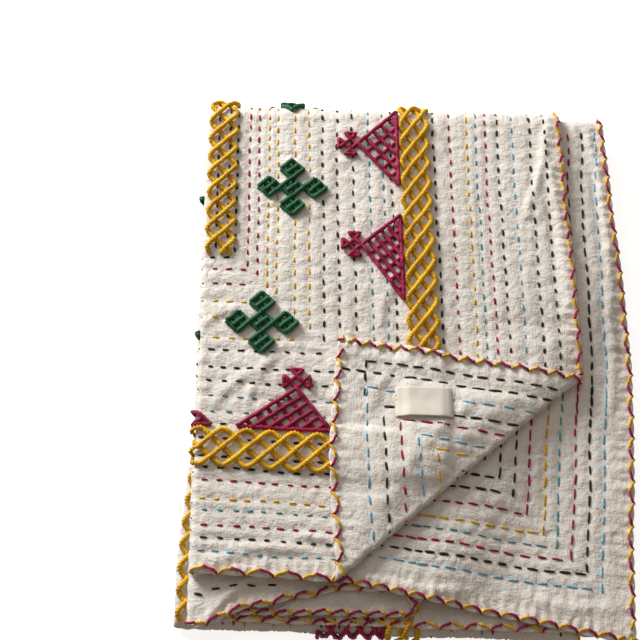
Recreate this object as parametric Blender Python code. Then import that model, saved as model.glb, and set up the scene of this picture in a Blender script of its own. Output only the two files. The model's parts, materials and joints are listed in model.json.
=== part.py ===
"""A quilted cotton throw, folded to eight layers, with one corner turned back.

The cloth starts as a flat slab: u runs across it, v along it, and h through it. Each fold is
one bend of that slab, and the bends follow one another in the order in which a person folds
the real throw. u is positive on the half that ends up on top, and zero on the side fold. v is
zero on the near end of the top layer. Sizes are in metres, +Z is up, and the throw rests on
Z = 0 with the near end towards -Y.
"""

import math

import bmesh
import bpy
from mathutils import Vector

# The cloth, laid flat
CLOTH = 0.0026  # thickness of the two quilted plies
TOP_HALF = 0.377  # from the side fold to the free side edge of the upper half
UNDER_HALF = 0.424  # the same for the lower half
LAYER = 0.005  # from the middle of one layer to the middle of the next

# Where the folded stack lies, before it is centred on the origin
SIDE_FOLD_X = -0.117  # centre of the side fold's bend
NEAR_Y = -0.253  # near end of the top layer, at the side fold
FAR_Y = 0.240  # centre of the far fold's bends
CREASE_Y = -0.2904  # centre of the near crease's bend
INNER_END_Y = -0.293  # near end of the inner layers
CENTRE = (0.08707, -0.0277)  # middle of the folded stack, which becomes the origin

# Levels of the layers above the floor, counted in LAYER
TOP_LEVEL = 8
LIFTED_LEVEL = 3
INNER_LEVEL = 4
BEND = math.pi * LAYER
V_FAR_1 = FAR_Y - NEAR_Y
V_FAR_2 = V_FAR_1 + BEND * TOP_LEVEL / 2
V_CREASE_1 = V_FAR_2 + FAR_Y - CREASE_Y
V_CREASE_2 = V_CREASE_1 + BEND * LIFTED_LEVEL / 2
V_INNER_1 = V_CREASE_2 + FAR_Y - CREASE_Y
V_INNER_2 = V_INNER_1 + BEND / 2
LENGTH = V_INNER_2 + FAR_Y - INNER_END_Y

# The corner of the top layer that is turned back
FLAP_ACROSS = 0.246  # from the corner to the fold, along the near edge
FLAP_ALONG = 0.219  # from the corner to the fold, along the side edge
FLAP_PULL = (-0.027, 0.002)  # how far the turned corner is pulled past its mirror image
FLAP_BOW = 0.007  # how far its near edge bows out halfway

# The corner of the inner layer that is tucked under itself
TUCK_AT = 0.200  # from the side fold to the tuck, at the near end
TUCK_SLANT = 0.55  # how fast the tuck runs towards the free side edge
TUCK_EASE = 0.85  # the tucked cloth is gathered to this share of its width

# How each layer slips out of line. A run is the width over which a slip grows to its full size.
STACK_SKEW = -0.033  # the far fold and the near crease slant by this much
TOP_SKEW = -0.033  # the near end of the top layer slants by this much more
TOP_BOW = 0.004  # the side edge of the top layer bows out halfway along
TOP_BOW_RUN = 0.3
UNDER_SKEW = -0.17  # the near end of the second layer, past UNDER_SKEW_FROM
UNDER_SKEW_FROM = 0.13
UNDER_LEAN = -0.05  # the second layer leans towards the side fold at its near end
UNDER_LEAN_RUN = 0.3
UNDER_BOW = 0.008  # the side edge of the second layer bows out halfway along
UNDER_BOW_RUN = 0.4
LOWER_SLIP = -0.016  # the four lowest layers slip past the side fold at the near end
LOWER_SLIP_FROM = -0.02  # in y
LOWER_SLIP_RUN = 0.25
SLUMP_RUN = 0.075  # the width over which the top layers come down past the tuck
# The near edge of the tucked layer: (from the side fold, further from the near end)
TUCK_EDGE = (
    (0.000, -0.009),
    (0.060, 0.012),
    (0.100, 0.022),
    (0.145, 0.031),
    (0.190, 0.031),
    (0.212, 0.008),
    (0.424, 0.006),
)
# Low swells in the stack: (height share, wave across, wave along, phase), waves in metres
SWELLS = (
    (0.020, 0.31, 0.52, 0.4),
    (0.014, 0.19, 0.27, 2.1),
    (0.010, 0.43, 0.17, 4.0),
)

# Quilted channels: how far each sewn row lies from the side edge. A row turns with the corner,
# on a line that starts MITRE_SIDE in from the corner and climbs by MITRE_SLOPE.
TOP_ROWS = (
    0.025, 0.042, 0.060, 0.075, 0.090, 0.107, 0.124, 0.139, 0.158, 0.181,
    0.195, 0.209, 0.225, 0.240, 0.256, 0.271, 0.287, 0.304, 0.322, 0.341,
)
UNDER_ROWS = (0.021, 0.035, 0.048, 0.063, 0.076, 0.092, 0.106, 0.121, 0.140)
CHANNEL_DEPTH = 0.0011
CHANNEL_HALF = 0.006  # half the width over which a sewn row draws the cloth in
CHANNEL_FREE = 0.010  # no row is drawn in as near the side fold as this
MITRE_SIDE = 0.037
MITRE_SLOPE = 1.076
FIELD_SIDE = 0.352  # past this distance from the side edge there are no rows
BACK_ROWS = 0.150  # the same where the cloth's back shows
UNDER_SEEN = 0.320  # the lower half shows as far in from its side edge as this

# The blank label on the turned corner, and where it is sewn
LABEL_LONG = 0.047
LABEL_WIDE = 0.031
LABEL_THICK = 0.0007
LABEL_FROM_SIDE = 0.053
LABEL_FROM_NEAR = 0.078
LABEL_TURN = -0.13  # radians
SEAT_GAP = 0.0003

# How finely the slab is cut
TOP_COLUMN = 0.0377
TOP_ROW = 0.038
LONG_STEP = 0.089
END_STEP = 0.0375
END_REACH = 0.150
FLAP_STEPS = 4
FAR_STEPS = 7
CREASE_STEPS = 5
INNER_STEPS = 4
SIDE_FOLD_CUTS = (-2, -1, -0.5, 0, 0.5, 1, 2)  # in quarters of a bend
LABEL_CUTS = (4, 7)  # pieces that the label is cut in, across and along

COTTON = (0.775, 0.715, 0.645)
TAPE = (0.80, 0.76, 0.69)


def ease(t):
    """0 below 0, 1 above 1, and a smooth rise between."""
    t = min(max(t, 0.0), 1.0)
    return t * t * (3 - 2 * t)


def along_table(table, at):
    """The value that a table of (place, value) pairs gives at one place."""
    for (a, low), (b, high) in zip(table, table[1:]):
        if at <= b:
            return low + (high - low) * ease((at - a) / (b - a))
    return table[-1][1]


def turn_corner(u, v, h):
    """Turns the top layer's corner back over its front, about a slanting line."""
    across = u - (TOP_HALF - FLAP_ACROSS)
    size = math.hypot(FLAP_ACROSS, FLAP_ALONG)
    out = (across * FLAP_ALONG - v * FLAP_ACROSS) / size
    if out <= 0:
        return u, v, h
    radius = LAYER / 2
    half_turn = math.pi * radius
    angle = min(out / radius, math.pi)
    beyond = max(out - half_turn, 0.0)
    reach = (radius - h) * math.sin(angle) - beyond
    corner = FLAP_ACROSS * FLAP_ALONG / size - half_turn
    pull = beyond / corner
    u += (reach - out) * FLAP_ALONG / size + FLAP_PULL[0] * pull
    u -= FLAP_BOW * math.sin(math.pi * pull)
    v -= (reach - out) * FLAP_ACROSS / size - FLAP_PULL[1] * pull
    return u, v, radius - (radius - h) * math.cos(angle)


def tuck_line(from_end):
    """How far from the side fold the tuck lies, at a distance from the inner end."""
    return TUCK_AT + TUCK_SLANT * from_end


def tuck_under(m, v, h):
    """Turns the inner layer's corner under itself. m is the distance from the side fold."""
    past = m - tuck_line(LENGTH - v)
    if v < V_INNER_2 or past <= 0:
        return m, h
    radius = LAYER / 2
    angle = min(past / radius, math.pi)
    beyond = max(past - math.pi * radius, 0.0)
    m += (radius + h) * math.sin(angle) - TUCK_EASE * beyond - past
    return m, (radius + h) * math.cos(angle) - radius


def layer_gap(v):
    """From the middle of the upper half to the middle of the lower half."""
    return LAYER * (1 + ease((v - V_INNER_1) / (V_INNER_2 - V_INNER_1)))


def side_fold(u, v, h):
    """Bends the cloth round the side fold: the place across, the offset, and m."""
    gap = layer_gap(v)
    quarter = math.pi * gap / 4
    if u > quarter:
        return SIDE_FOLD_X + u - quarter, h, 0.0
    if u < -quarter:
        m, h = tuck_under(-u - quarter, v, h)
        return SIDE_FOLD_X + m, -gap - h, -u - quarter
    angle = u / quarter * math.pi / 2
    radius = gap / 2 + h
    return SIDE_FOLD_X - radius * math.cos(angle), radius * math.sin(angle) - gap / 2, 0.0


def long_folds(v, offset):
    """Bends the two-layer strip round the far fold, the near crease and the inner fold."""
    floor = CLOTH / 2
    if v <= V_FAR_1:
        return NEAR_Y + v, floor + TOP_LEVEL * LAYER + offset
    if v <= V_FAR_2:
        radius = TOP_LEVEL * LAYER / 2
        angle = (v - V_FAR_1) / radius
        reach = radius + offset
        return FAR_Y + reach * math.sin(angle), floor + radius + reach * math.cos(angle)
    if v <= V_CREASE_1:
        return FAR_Y - (v - V_FAR_2), floor - offset
    if v <= V_CREASE_2:
        radius = LIFTED_LEVEL * LAYER / 2
        angle = (v - V_CREASE_1) / radius
        reach = radius + offset
        return CREASE_Y - reach * math.sin(angle), floor + radius - reach * math.cos(angle)
    if v <= V_INNER_1:
        return CREASE_Y + v - V_CREASE_2, floor + LIFTED_LEVEL * LAYER + offset
    if v <= V_INNER_2:
        radius = LAYER / 2
        angle = (v - V_INNER_1) / radius
        reach = radius - offset
        middle = floor + LIFTED_LEVEL * LAYER + radius
        return FAR_Y + reach * math.sin(angle), middle - reach * math.cos(angle)
    return FAR_Y - (v - V_INNER_2), floor + INNER_LEVEL * LAYER - offset


def slip(x, y, v, m):
    """Moves a point in plan, as its layer lies out of line with the others."""
    across = x - SIDE_FOLD_X
    shift_x = 0.0
    shift_y = STACK_SKEW * across
    if v < V_FAR_1:
        near = 1 - v / V_FAR_1
        halfway = math.sin(math.pi * ease(v / V_FAR_1))
        if m > 0:
            shift_y += UNDER_SKEW * max(m - UNDER_SKEW_FROM, 0.0) * near
            shift_x += UNDER_LEAN * max(-y, 0.0) * ease(m / UNDER_LEAN_RUN)
            shift_x += UNDER_BOW * halfway * ease(m / UNDER_BOW_RUN)
        else:
            shift_y += TOP_SKEW * across * near
            shift_x += TOP_BOW * halfway * ease(across / TOP_BOW_RUN)
    elif V_FAR_2 < v < V_INNER_1:
        shift_x += LOWER_SLIP * ease((LOWER_SLIP_FROM - y) / LOWER_SLIP_RUN)
    elif v > V_INNER_2 and m > 0:
        shift_y += along_table(TUCK_EDGE, m) * ease(1 - (LENGTH - v) / END_REACH)
    return x + shift_x, y + shift_y


def slump(x, y, z, v):
    """Lets the top layers come down where nothing is tucked below them, and swells all."""
    line = SIDE_FOLD_X + tuck_line(y - INNER_END_Y)
    if v < V_FAR_1:
        z -= 2 * LAYER * ease((x - line) / SLUMP_RUN)
    swell = 1.0
    for share, wave_x, wave_y, phase in SWELLS:
        swell += share * math.sin(2 * math.pi * (x / wave_x + y / wave_y) + phase)
    return z * swell


def fold(u, v, h):
    """The folded throw's point for a point of the flat cloth."""
    if u > 0:
        u, v, h = turn_corner(u, v, h)
    x, offset, m = side_fold(u, v, h)
    y, z = long_folds(v, offset)
    x, y = slip(x, y, v, m)
    z = slump(x, y, z, v)
    return Vector((x - CENTRE[0], y - CENTRE[1], z))


def cut(bm, point, normal, wanted=None):
    """Cuts the wanted faces of the slab along a plane; their neighbours keep up with it."""
    faces = [f for f in bm.faces if wanted is None or wanted(f)]
    edges = {e for f in faces for e in f.edges}
    verts = {v for e in edges for v in e.verts}
    bmesh.ops.bisect_plane(
        bm,
        geom=list(verts) + list(edges) + faces,
        dist=1e-6,
        plane_co=point,
        plane_no=normal,
    )


def cut_across(bm, u, wanted=None):
    cut(bm, (u, 0, 0), (1, 0, 0), wanted)


def cut_along(bm, v, wanted=None):
    cut(bm, (0, v, 0), (0, 1, 0), wanted)


def steps(start, end, size):
    """Even places between two ends, both ends included, at most one size apart."""
    count = max(1, math.ceil((end - start) / size - 1e-6))
    return [start + (end - start) * i / count for i in range(count + 1)]


def spot(face):
    """Where a face of the flat slab lies: across, along."""
    middle = face.calc_center_median()
    return middle.x, middle.y


def on_front(face):
    return face.calc_center_median().z > CLOTH / 4


def on_back(face):
    return face.calc_center_median().z < -CLOTH / 4


def from_side(u):
    return TOP_HALF - u if u > 0 else UNDER_HALF + u


def row_place(u, v):
    """The distance by which the sewn rows are told apart, past the line where they turn."""
    side = from_side(u)
    if u < 0:
        return min(side, v)
    return max(min(side, MITRE_SIDE + v / MITRE_SLOPE), 0.0)


def near_end(side):
    """How far from the near end the row lies that is sewn at this distance from the side."""
    return (side - MITRE_SIDE) * MITRE_SLOPE


def in_flap(u, v):
    """True past the fold of the turned corner."""
    return (u - TOP_HALF + FLAP_ACROSS) * FLAP_ALONG - v * FLAP_ACROSS > 0


def shows_front(u, v):
    """True where the sewn rows of the cloth's front can be seen."""
    seen = v < V_FAR_2 or V_CREASE_1 < v < V_CREASE_2
    return u > 0 and seen and from_side(u) < FIELD_SIDE and not in_flap(u, v)


def shows_back(u, v):
    """True where the sewn rows of the cloth's back can be seen."""
    if u > 0:
        return in_flap(u, v) and row_place(u, v) < BACK_ROWS
    return v < V_FAR_1 and row_place(u, v) < BACK_ROWS and from_side(u) < UNDER_SEEN


def shown(face):
    return on_front(face) and shows_front(*spot(face)) or on_back(face) and shows_back(*spot(face))


def rows_run_along(face):
    """True where the sewn rows run along the cloth, and false where they run across it."""
    u, v = spot(face)
    return row_place(u, v) >= from_side(u) - 1e-6


def cut_bends(bm):
    """Cuts the slab where it bends, and in long steps where it lies hidden."""
    for start, end, count in (
        (V_FAR_1, V_FAR_2, FAR_STEPS),
        (V_CREASE_1, V_CREASE_2, CREASE_STEPS),
        (V_INNER_1, V_INNER_2, INNER_STEPS),
    ):
        for i in range(count + 1):
            cut_along(bm, start + (end - start) * i / count)
    for quarters in SIDE_FOLD_CUTS:
        cut_across(bm, quarters * BEND / 4)
    flap = Vector((FLAP_ALONG, -FLAP_ACROSS, 0)).normalized()
    flap_start = Vector((TOP_HALF - FLAP_ACROSS, 0, 0))
    tuck = Vector((-1, TUCK_SLANT, 0)).normalized()
    tuck_start = Vector((-math.pi * layer_gap(LENGTH) / 4 - TUCK_AT, LENGTH, 0))
    for i in range(FLAP_STEPS + 1):
        bend = BEND / 2 * i / FLAP_STEPS
        cut(bm, flap_start + flap * bend, flap, lambda f: spot(f)[0] > 0)
        aside = Vector((-bend, 0, 0))
        cut(bm, tuck_start + aside, tuck, lambda f: spot(f)[0] < 0 and spot(f)[1] > V_INNER_2)


def cut_bounds(bm):
    """Cuts the faces that show round the places where the sewn rows run one way."""
    corner = Vector((TOP_HALF - MITRE_SIDE, 0, 0))
    across_rows = Vector((MITRE_SLOPE, 1, 0)).normalized()
    cut(bm, corner, across_rows, lambda f: spot(f)[0] > 0 and spot(f)[1] < V_FAR_1 and on_front(f))
    cut(bm, corner, across_rows, lambda f: on_back(f) and in_flap(*spot(f)) and spot(f)[0] > 0)
    cut_across(bm, TOP_HALF - FIELD_SIDE, lambda f: spot(f)[0] > 0 and on_front(f))
    for u, v in ((TOP_HALF - BACK_ROWS, near_end(BACK_ROWS)), (BACK_ROWS - UNDER_HALF, BACK_ROWS)):
        cut_across(bm, u, lambda f: on_back(f) and spot(f)[0] * u > 0 and spot(f)[1] < V_FAR_1)
        cut_along(bm, v, lambda f: on_back(f) and spot(f)[0] * u > 0)

    def under(face):
        return on_back(face) and spot(face)[0] < 0 and spot(face)[1] < V_FAR_1

    cut_across(bm, UNDER_SEEN - UNDER_HALF, under)
    cut(bm, (-UNDER_HALF, 0, 0), (1, -1, 0), under)


def middles(places):
    """The places with the middle of each pair added between them."""
    return sorted(places + [(a + b) / 2 for a, b in zip(places, places[1:])])


def cut_rows(bm):
    """Cuts the faces that show along the sewn rows and midway between them."""
    for side in middles(list(TOP_ROWS)):
        cut_across(bm, TOP_HALF - side, lambda f: spot(f)[0] > 0 and shown(f) and rows_run_along(f))
        if side > MITRE_SIDE:
            cut_along(bm, near_end(side), lambda f: spot(f)[0] > 0 and shown(f) and not rows_run_along(f))
    for side in middles(list(UNDER_ROWS)):
        cut_across(bm, side - UNDER_HALF, lambda f: spot(f)[0] < 0 and shown(f) and rows_run_along(f))
        cut_along(bm, side, lambda f: spot(f)[0] < 0 and shown(f) and not rows_run_along(f))


def cut_evenly(bm):
    """Cuts what is left in even steps, short in the top layers and long in the others."""

    def plain(face):
        return not (shown(face) and rows_run_along(face))

    for u in steps(0.0, UNDER_HALF, TOP_COLUMN)[1:-1:2]:
        cut_across(bm, u, plain)
        cut_across(bm, -u, plain)
    for u in steps(0.0, UNDER_HALF, TOP_COLUMN)[2:-1:2]:
        cut_across(bm, u, lambda f: plain(f) and spot(f)[1] < V_FAR_2)
        cut_across(bm, -u, lambda f: plain(f) and spot(f)[1] < V_FAR_2)
        cut_across(bm, -u, lambda f: spot(f)[1] > LENGTH - END_REACH)
    for start, end, size in (
        (V_FAR_2, V_CREASE_1, LONG_STEP),
        (V_CREASE_2, V_INNER_1, LONG_STEP),
        (V_INNER_2, LENGTH - END_REACH, LONG_STEP),
        (LENGTH - END_REACH, LENGTH, END_STEP),
        (0.0, V_FAR_1, TOP_ROW),
    ):
        for v in steps(start, end, size):
            cut_along(bm, v, lambda f: not shown(f) or rows_run_along(f))


def sew(u, v, h):
    """Draws the faces that show in along the sewn rows."""
    shows = shows_front if h > 0 else shows_back
    if abs(u) < CHANNEL_FREE or not shows(u, v):
        return h
    rows = TOP_ROWS if u > 0 else UNDER_ROWS
    place = row_place(u, v)
    nearest = min(abs(place - row) for row in rows)
    depth = CHANNEL_DEPTH * (1 - ease(nearest / CHANNEL_HALF))
    return h - math.copysign(depth, h)


def material(name, colour, roughness):
    made = bpy.data.materials.new(name)
    made.use_nodes = True
    shader = made.node_tree.nodes["Principled BSDF"]
    shader.inputs["Base Color"].default_value = (*colour, 1)
    shader.inputs["Roughness"].default_value = roughness
    shader.inputs["Metallic"].default_value = 0.0
    return made


def add_object(name, bm, finish, collection):
    """Makes an object of a finished mesh, with its material, and puts it in the collection."""
    mesh = bpy.data.meshes.new(name)
    bm.to_mesh(mesh)
    bm.free()
    mesh.materials.append(finish)
    made = bpy.data.objects.new(name, mesh)
    collection.objects.link(made)
    return made


def slab(size_u, size_v, thick, middle):
    """A flat closed slab, lying with its middle at a place."""
    bm = bmesh.new()
    bmesh.ops.create_cube(bm, size=1.0)
    bmesh.ops.scale(bm, vec=(size_u, size_v, thick), verts=bm.verts)
    bmesh.ops.translate(bm, vec=middle, verts=bm.verts)
    return bm


def make_throw(collection):
    """The whole quilted cloth, in one piece."""
    width = TOP_HALF + UNDER_HALF
    bm = slab(width, LENGTH, CLOTH, ((TOP_HALF - UNDER_HALF) / 2, LENGTH / 2, 0))
    cut_bends(bm)
    cut_bounds(bm)
    cut_rows(bm)
    cut_evenly(bm)
    bmesh.ops.triangulate(bm, faces=bm.faces)
    for vert in bm.verts:
        u, v, h = vert.co
        vert.co = fold(u, v, sew(u, v, h))
    return add_object("throw_cloth", bm, material("quilted_cotton", COTTON, 0.95), collection)


def make_label(collection):
    """The blank woven label, which follows the turned corner just above its cloth."""
    bm = slab(LABEL_WIDE, LABEL_LONG, LABEL_THICK, (0, 0, 0))
    pieces_across, pieces_along = LABEL_CUTS
    for i in range(1, pieces_across):
        cut_across(bm, LABEL_WIDE * (i / pieces_across - 0.5))
    for i in range(1, pieces_along):
        cut_along(bm, LABEL_LONG * (i / pieces_along - 0.5))
    bmesh.ops.triangulate(bm, faces=bm.faces)
    for vert in bm.verts:
        a, b, c = vert.co
        u = TOP_HALF - LABEL_FROM_SIDE + a * math.cos(LABEL_TURN) - b * math.sin(LABEL_TURN)
        v = LABEL_FROM_NEAR + a * math.sin(LABEL_TURN) + b * math.cos(LABEL_TURN)
        vert.co = fold(u, v, c - CLOTH / 2 - SEAT_GAP - LABEL_THICK / 2)
    return add_object("blank_label", bm, material("woven_tape", TAPE, 0.8), collection)


def main():
    for old in list(bpy.data.objects):
        bpy.data.objects.remove(old, do_unlink=True)
    collection = bpy.data.collections.new("folded_throw")
    bpy.context.scene.collection.children.link(collection)
    make_throw(collection)
    make_label(collection)


main()
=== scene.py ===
"""The looks of a hand-quilted cotton throw, folded to eight layers on a pale floor.

Everything is placed on the flat cloth first. There u runs across the cloth and v along it, with
u = 0 on the side fold and v = 0 on the near end of the top layer, and h is the height above the
middle of the cloth. fold() then takes each point to where it lies in the folded throw, so that
the stitches and cords lie on their cloth wherever it goes. Sizes are in metres.
"""

import json
import math
import random

import bpy
from bpy.props import FloatProperty, FloatVectorProperty, IntProperty, PointerProperty
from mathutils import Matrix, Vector, noise
from mathutils.geometry import delaunay_2d_cdt

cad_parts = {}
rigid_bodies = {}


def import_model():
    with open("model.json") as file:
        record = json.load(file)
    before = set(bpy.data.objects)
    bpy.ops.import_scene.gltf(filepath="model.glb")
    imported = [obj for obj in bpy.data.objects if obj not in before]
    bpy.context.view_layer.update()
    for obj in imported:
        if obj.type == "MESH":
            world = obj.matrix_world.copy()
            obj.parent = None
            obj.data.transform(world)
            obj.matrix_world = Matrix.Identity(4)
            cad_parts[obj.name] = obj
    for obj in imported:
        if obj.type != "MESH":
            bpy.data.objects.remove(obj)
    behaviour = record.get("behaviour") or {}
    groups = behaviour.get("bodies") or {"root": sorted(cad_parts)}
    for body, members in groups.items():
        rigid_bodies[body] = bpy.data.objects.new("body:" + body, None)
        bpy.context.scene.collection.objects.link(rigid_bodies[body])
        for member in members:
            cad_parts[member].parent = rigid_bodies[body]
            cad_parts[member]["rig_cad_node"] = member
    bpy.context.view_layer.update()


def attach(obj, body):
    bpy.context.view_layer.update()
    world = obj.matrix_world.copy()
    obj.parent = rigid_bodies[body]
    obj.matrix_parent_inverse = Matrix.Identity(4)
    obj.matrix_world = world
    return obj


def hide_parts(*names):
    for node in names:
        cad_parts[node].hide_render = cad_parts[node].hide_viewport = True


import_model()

bl_info = {
    "name": "Folded quilted throw",
    "version": (1, 0, 0),
    "blender": (4, 5, 0),
    "location": "3D View > Sidebar > Throw",
    "description": "Makes a folded cotton throw with running stitches, whipped hems and "
                   "couched cords",
    "category": "Add Mesh",
}

# The cloth and its folds, as the solid has them
CLOTH = 0.0026
TOP_HALF = 0.377
UNDER_HALF = 0.424
LAYER = 0.005
SIDE_FOLD_X = -0.117
NEAR_Y = -0.253
FAR_Y = 0.240
CREASE_Y = -0.2904
INNER_END_Y = -0.293
CENTRE = (0.08707, -0.0277)
TOP_LEVEL = 8
LIFTED_LEVEL = 3
INNER_LEVEL = 4
BEND = math.pi * LAYER
V_FAR_1 = FAR_Y - NEAR_Y
V_FAR_2 = V_FAR_1 + BEND * TOP_LEVEL / 2
V_CREASE_1 = V_FAR_2 + FAR_Y - CREASE_Y
V_CREASE_2 = V_CREASE_1 + BEND * LIFTED_LEVEL / 2
V_INNER_1 = V_CREASE_2 + FAR_Y - CREASE_Y
V_INNER_2 = V_INNER_1 + BEND / 2
LENGTH = V_INNER_2 + FAR_Y - INNER_END_Y
WIDTH = TOP_HALF + UNDER_HALF

# The corner that is turned back, and the corner that is tucked under
FLAP_ACROSS = 0.246
FLAP_ALONG = 0.219
FLAP_PULL = (-0.027, 0.002)
FLAP_BOW = 0.007
TUCK_AT = 0.200
TUCK_SLANT = 0.55
TUCK_EASE = 0.85

# How each layer slips out of line
STACK_SKEW = -0.033
TOP_SKEW = -0.033
TOP_BOW = 0.004
TOP_BOW_RUN = 0.3
UNDER_SKEW = -0.17
UNDER_SKEW_FROM = 0.13
UNDER_LEAN = -0.05
UNDER_LEAN_RUN = 0.3
UNDER_BOW = 0.008
UNDER_BOW_RUN = 0.4
LOWER_SLIP = -0.016
LOWER_SLIP_FROM = -0.02
LOWER_SLIP_RUN = 0.25
SLUMP_RUN = 0.075
END_REACH = 0.150
# The near edge of the tucked layer: (from the side fold, further from the near end)
TUCK_EDGE = (
    (0.000, -0.009),
    (0.060, 0.012),
    (0.100, 0.022),
    (0.145, 0.031),
    (0.190, 0.031),
    (0.212, 0.008),
    (0.424, 0.006),
)
# Low swells in the stack: (height share, wave across, wave along, phase)
SWELLS = (
    (0.020, 0.31, 0.52, 0.4),
    (0.014, 0.19, 0.27, 2.1),
    (0.010, 0.43, 0.17, 4.0),
)

# Rows of running stitches on the front: (thread, from the near edge, from the side edge). A row
# with no thread here is one of those among the cords, whose stitches BAND_STITCHES places.
# A distance of None means that the row doesn't run that way.
FRONT_ROWS = (
    ("black", None, 0.0225),
    ("black", None, 0.0385),
    ("sky", 0.020, 0.0570),
    ("black", 0.033, 0.0725),
    ("crimson", 0.045, 0.0855),
    ("teal", 0.060, 0.0955),
    ("yellow", 0.071, 0.1050),
    ("crimson", 0.089, 0.1220),
    ("black", 0.101, 0.1370),
    (None, 0.1137, 0.1505),
    (None, 0.131, 0.1635),
    ("black", 0.146, 0.1815),
    ("teal", 0.158, 0.1905),
    ("teal", 0.174, 0.2050),
    ("black", 0.190, 0.2220),
    ("black", 0.205, 0.2385),
    ("black", 0.224, 0.2535),
    ("yellow", 0.237, 0.2680),
    ("yellow", 0.259, 0.2830),
    ("yellow", 0.277, 0.3005),
    ("yellow", None, 0.3100),
    ("crimson", 0.296, 0.3205),
    ("crimson", 0.312, 0.3305),
    ("black", 0.325, 0.3430),
    (None, None, 0.3585),
    (None, None, 0.3710),
)
# The same rows seen on the back, where the corner is turned back
FLAP_ROWS = (
    ("black", 0.028, 0.020),
    ("black", None, 0.032),
    ("sky", 0.030, 0.048),
    ("black", 0.044, 0.064),
    ("crimson", 0.058, 0.076),
    ("sky", 0.072, 0.090),
    ("yellow", 0.086, 0.101),
    ("crimson", 0.101, 0.117),
    ("black", 0.115, 0.130),
)
# The rows on the back of the under half
UNDER_ROWS = (
    ("sky", 0.020, 0.022),
    ("black", 0.032, 0.036),
    ("crimson", 0.043, 0.050),
    ("teal", 0.054, 0.065),
    ("yellow", 0.065, 0.078),
    ("crimson", 0.081, 0.094),
    ("black", 0.096, 0.108),
    ("black", 0.109, 0.122),
    ("black", 0.120, 0.137),
)
# Where the rows turn the corner: (from the side edge at the near end, rise of that line)
MITRES = {"front": (0.037, 1.076), "flap": (0.018, 1.0), "under": (0.0, 1.0)}
FLAP_BLACK_FROM = TOP_HALF - 0.056  # the first row along the flap's end is sewn only from here
ZONE_BLEND = 0.012  # width over which the relief changes from one way of sewing to the other
# How hand-sewn rows stray from parallel with their edge: (place along the edge, straying)
FRONT_STRAY = ((0.10, 0.0), (0.275, 0.0015), (0.39, 0.0030), (0.49, 0.0052), (0.56, 0.0060))
FRONT_STRAY_FROM = 0.225
UNDER_STRAY_SIDE = (
    (0.0, 0.0090), (0.12, 0.0055), (0.275, 0.0030), (0.345, -0.0010), (0.415, -0.0050),
    (0.475, -0.0120), (0.56, -0.0200),
)
UNDER_STRAY_NEAR = ((0.10, 0.007), (0.174, 0.009), (0.314, 0.0136), (0.404, 0.0187))
# The black stitches that show at the near end of the inner layer: (u, from the cloth's end)
INNER_STITCHES = (
    (-0.0120, 0.0290), (-0.0280, 0.0300), (-0.0446, 0.0257), (-0.0611, 0.0204), (-0.0803, 0.0180),
)
TOP_LAYER_END = V_FAR_2 - 0.006

# Couched bands: (low side, high side) of the cords' centre lines
SIDE_BAND = (0.2067, 0.2353)  # in u, along the cloth
NEAR_BAND = (0.1035, 0.1400)  # in v, across the cloth
FOLD_BAR = (0.0050, 0.0325)  # in u, beside the side fold
# The runs of cord: (low, high, start, end, across the cloth, strands, pitch, phase)
BANDS = (
    (*SIDE_BAND, 0.150, V_FAR_2 - 0.004, False, 4, 0.0225, 0.0),
    (0.1990, 0.2276, V_CREASE_1 + 0.004, V_CREASE_2 + 0.008, False, 4, 0.0225, 0.12),
    (*FOLD_BAR, 0.329, V_FAR_2 - 0.004, False, 3, 0.0215, 0.0),
    (0.0040, 0.0300, V_CREASE_2 - 0.003, V_CREASE_2 + 0.200, False, 3, 0.0218, 0.657),
    (*NEAR_BAND, -0.012, 0.205, True, 4, 0.0227, 0.06),
)
# The black stitches among the cords: (place across, start, end, across the cloth, pitch)
BAND_STITCHES = (
    (0.2139, 0.150, TOP_LAYER_END, False, 0.0225),
    (0.2281, 0.150, TOP_LAYER_END, False, 0.0225),
    (0.0140, 0.333, TOP_LAYER_END, False, 0.0115),
    (0.0258, 0.333, TOP_LAYER_END, False, 0.0115),
    (0.1126, -0.004, SIDE_BAND[0], True, 0.0227),
    (0.1309, -0.004, SIDE_BAND[0], True, 0.0227),
)
# Triangles on the side band: (middle of the base in v, half the base, height, lean, lines)
SIDE_TRIANGLES = (
    (0.459, 0.044, 0.042, 0.003, 5),
    (0.332, 0.047, 0.040, 0.012, 6),
)
# The same on the near band, with middles in u
NEAR_TRIANGLES = (
    (0.0855, 0.045, 0.041, 0.012, 6),
    (-0.0300, 0.045, 0.041, 0.000, 6),
)
CREASE_TRIANGLE = (1.098, 0.045, 0.041, 0.0, 6)
# Middles of the flowers: (u, v)
FLOWERS = (
    (0.0920, 0.4077), (0.0625, 0.2544), (0.0915, 0.5340), (-0.0345, 0.2410), (-0.0345, 0.3934),
)
PETAL_STEP = (0.0235, 0.0212)  # from a flower's middle to the middles of its outer lozenges
PETAL_HALF = (0.0118, 0.0107)

# How the four free edges are whipped, as runs of (start, end, pitch, reach in from the edge)
WHIPPED = (
    ((0.0, 0.219, 0.0150, 0.0058), (0.219, LENGTH, 0.0215, 0.0046)),
    ((0.0, LENGTH, 0.0200, 0.0046),),
    (
        (-UNDER_HALF, 0.0, 0.0180, 0.0047),
        (0.0, 0.131, 0.0245, 0.0056),
        (0.131, TOP_HALF, 0.0225, 0.0052),
    ),
    ((-UNDER_HALF, 0.0, 0.0205, 0.0046), (0.0, TOP_HALF, 0.0235, 0.0052)),
)

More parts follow.
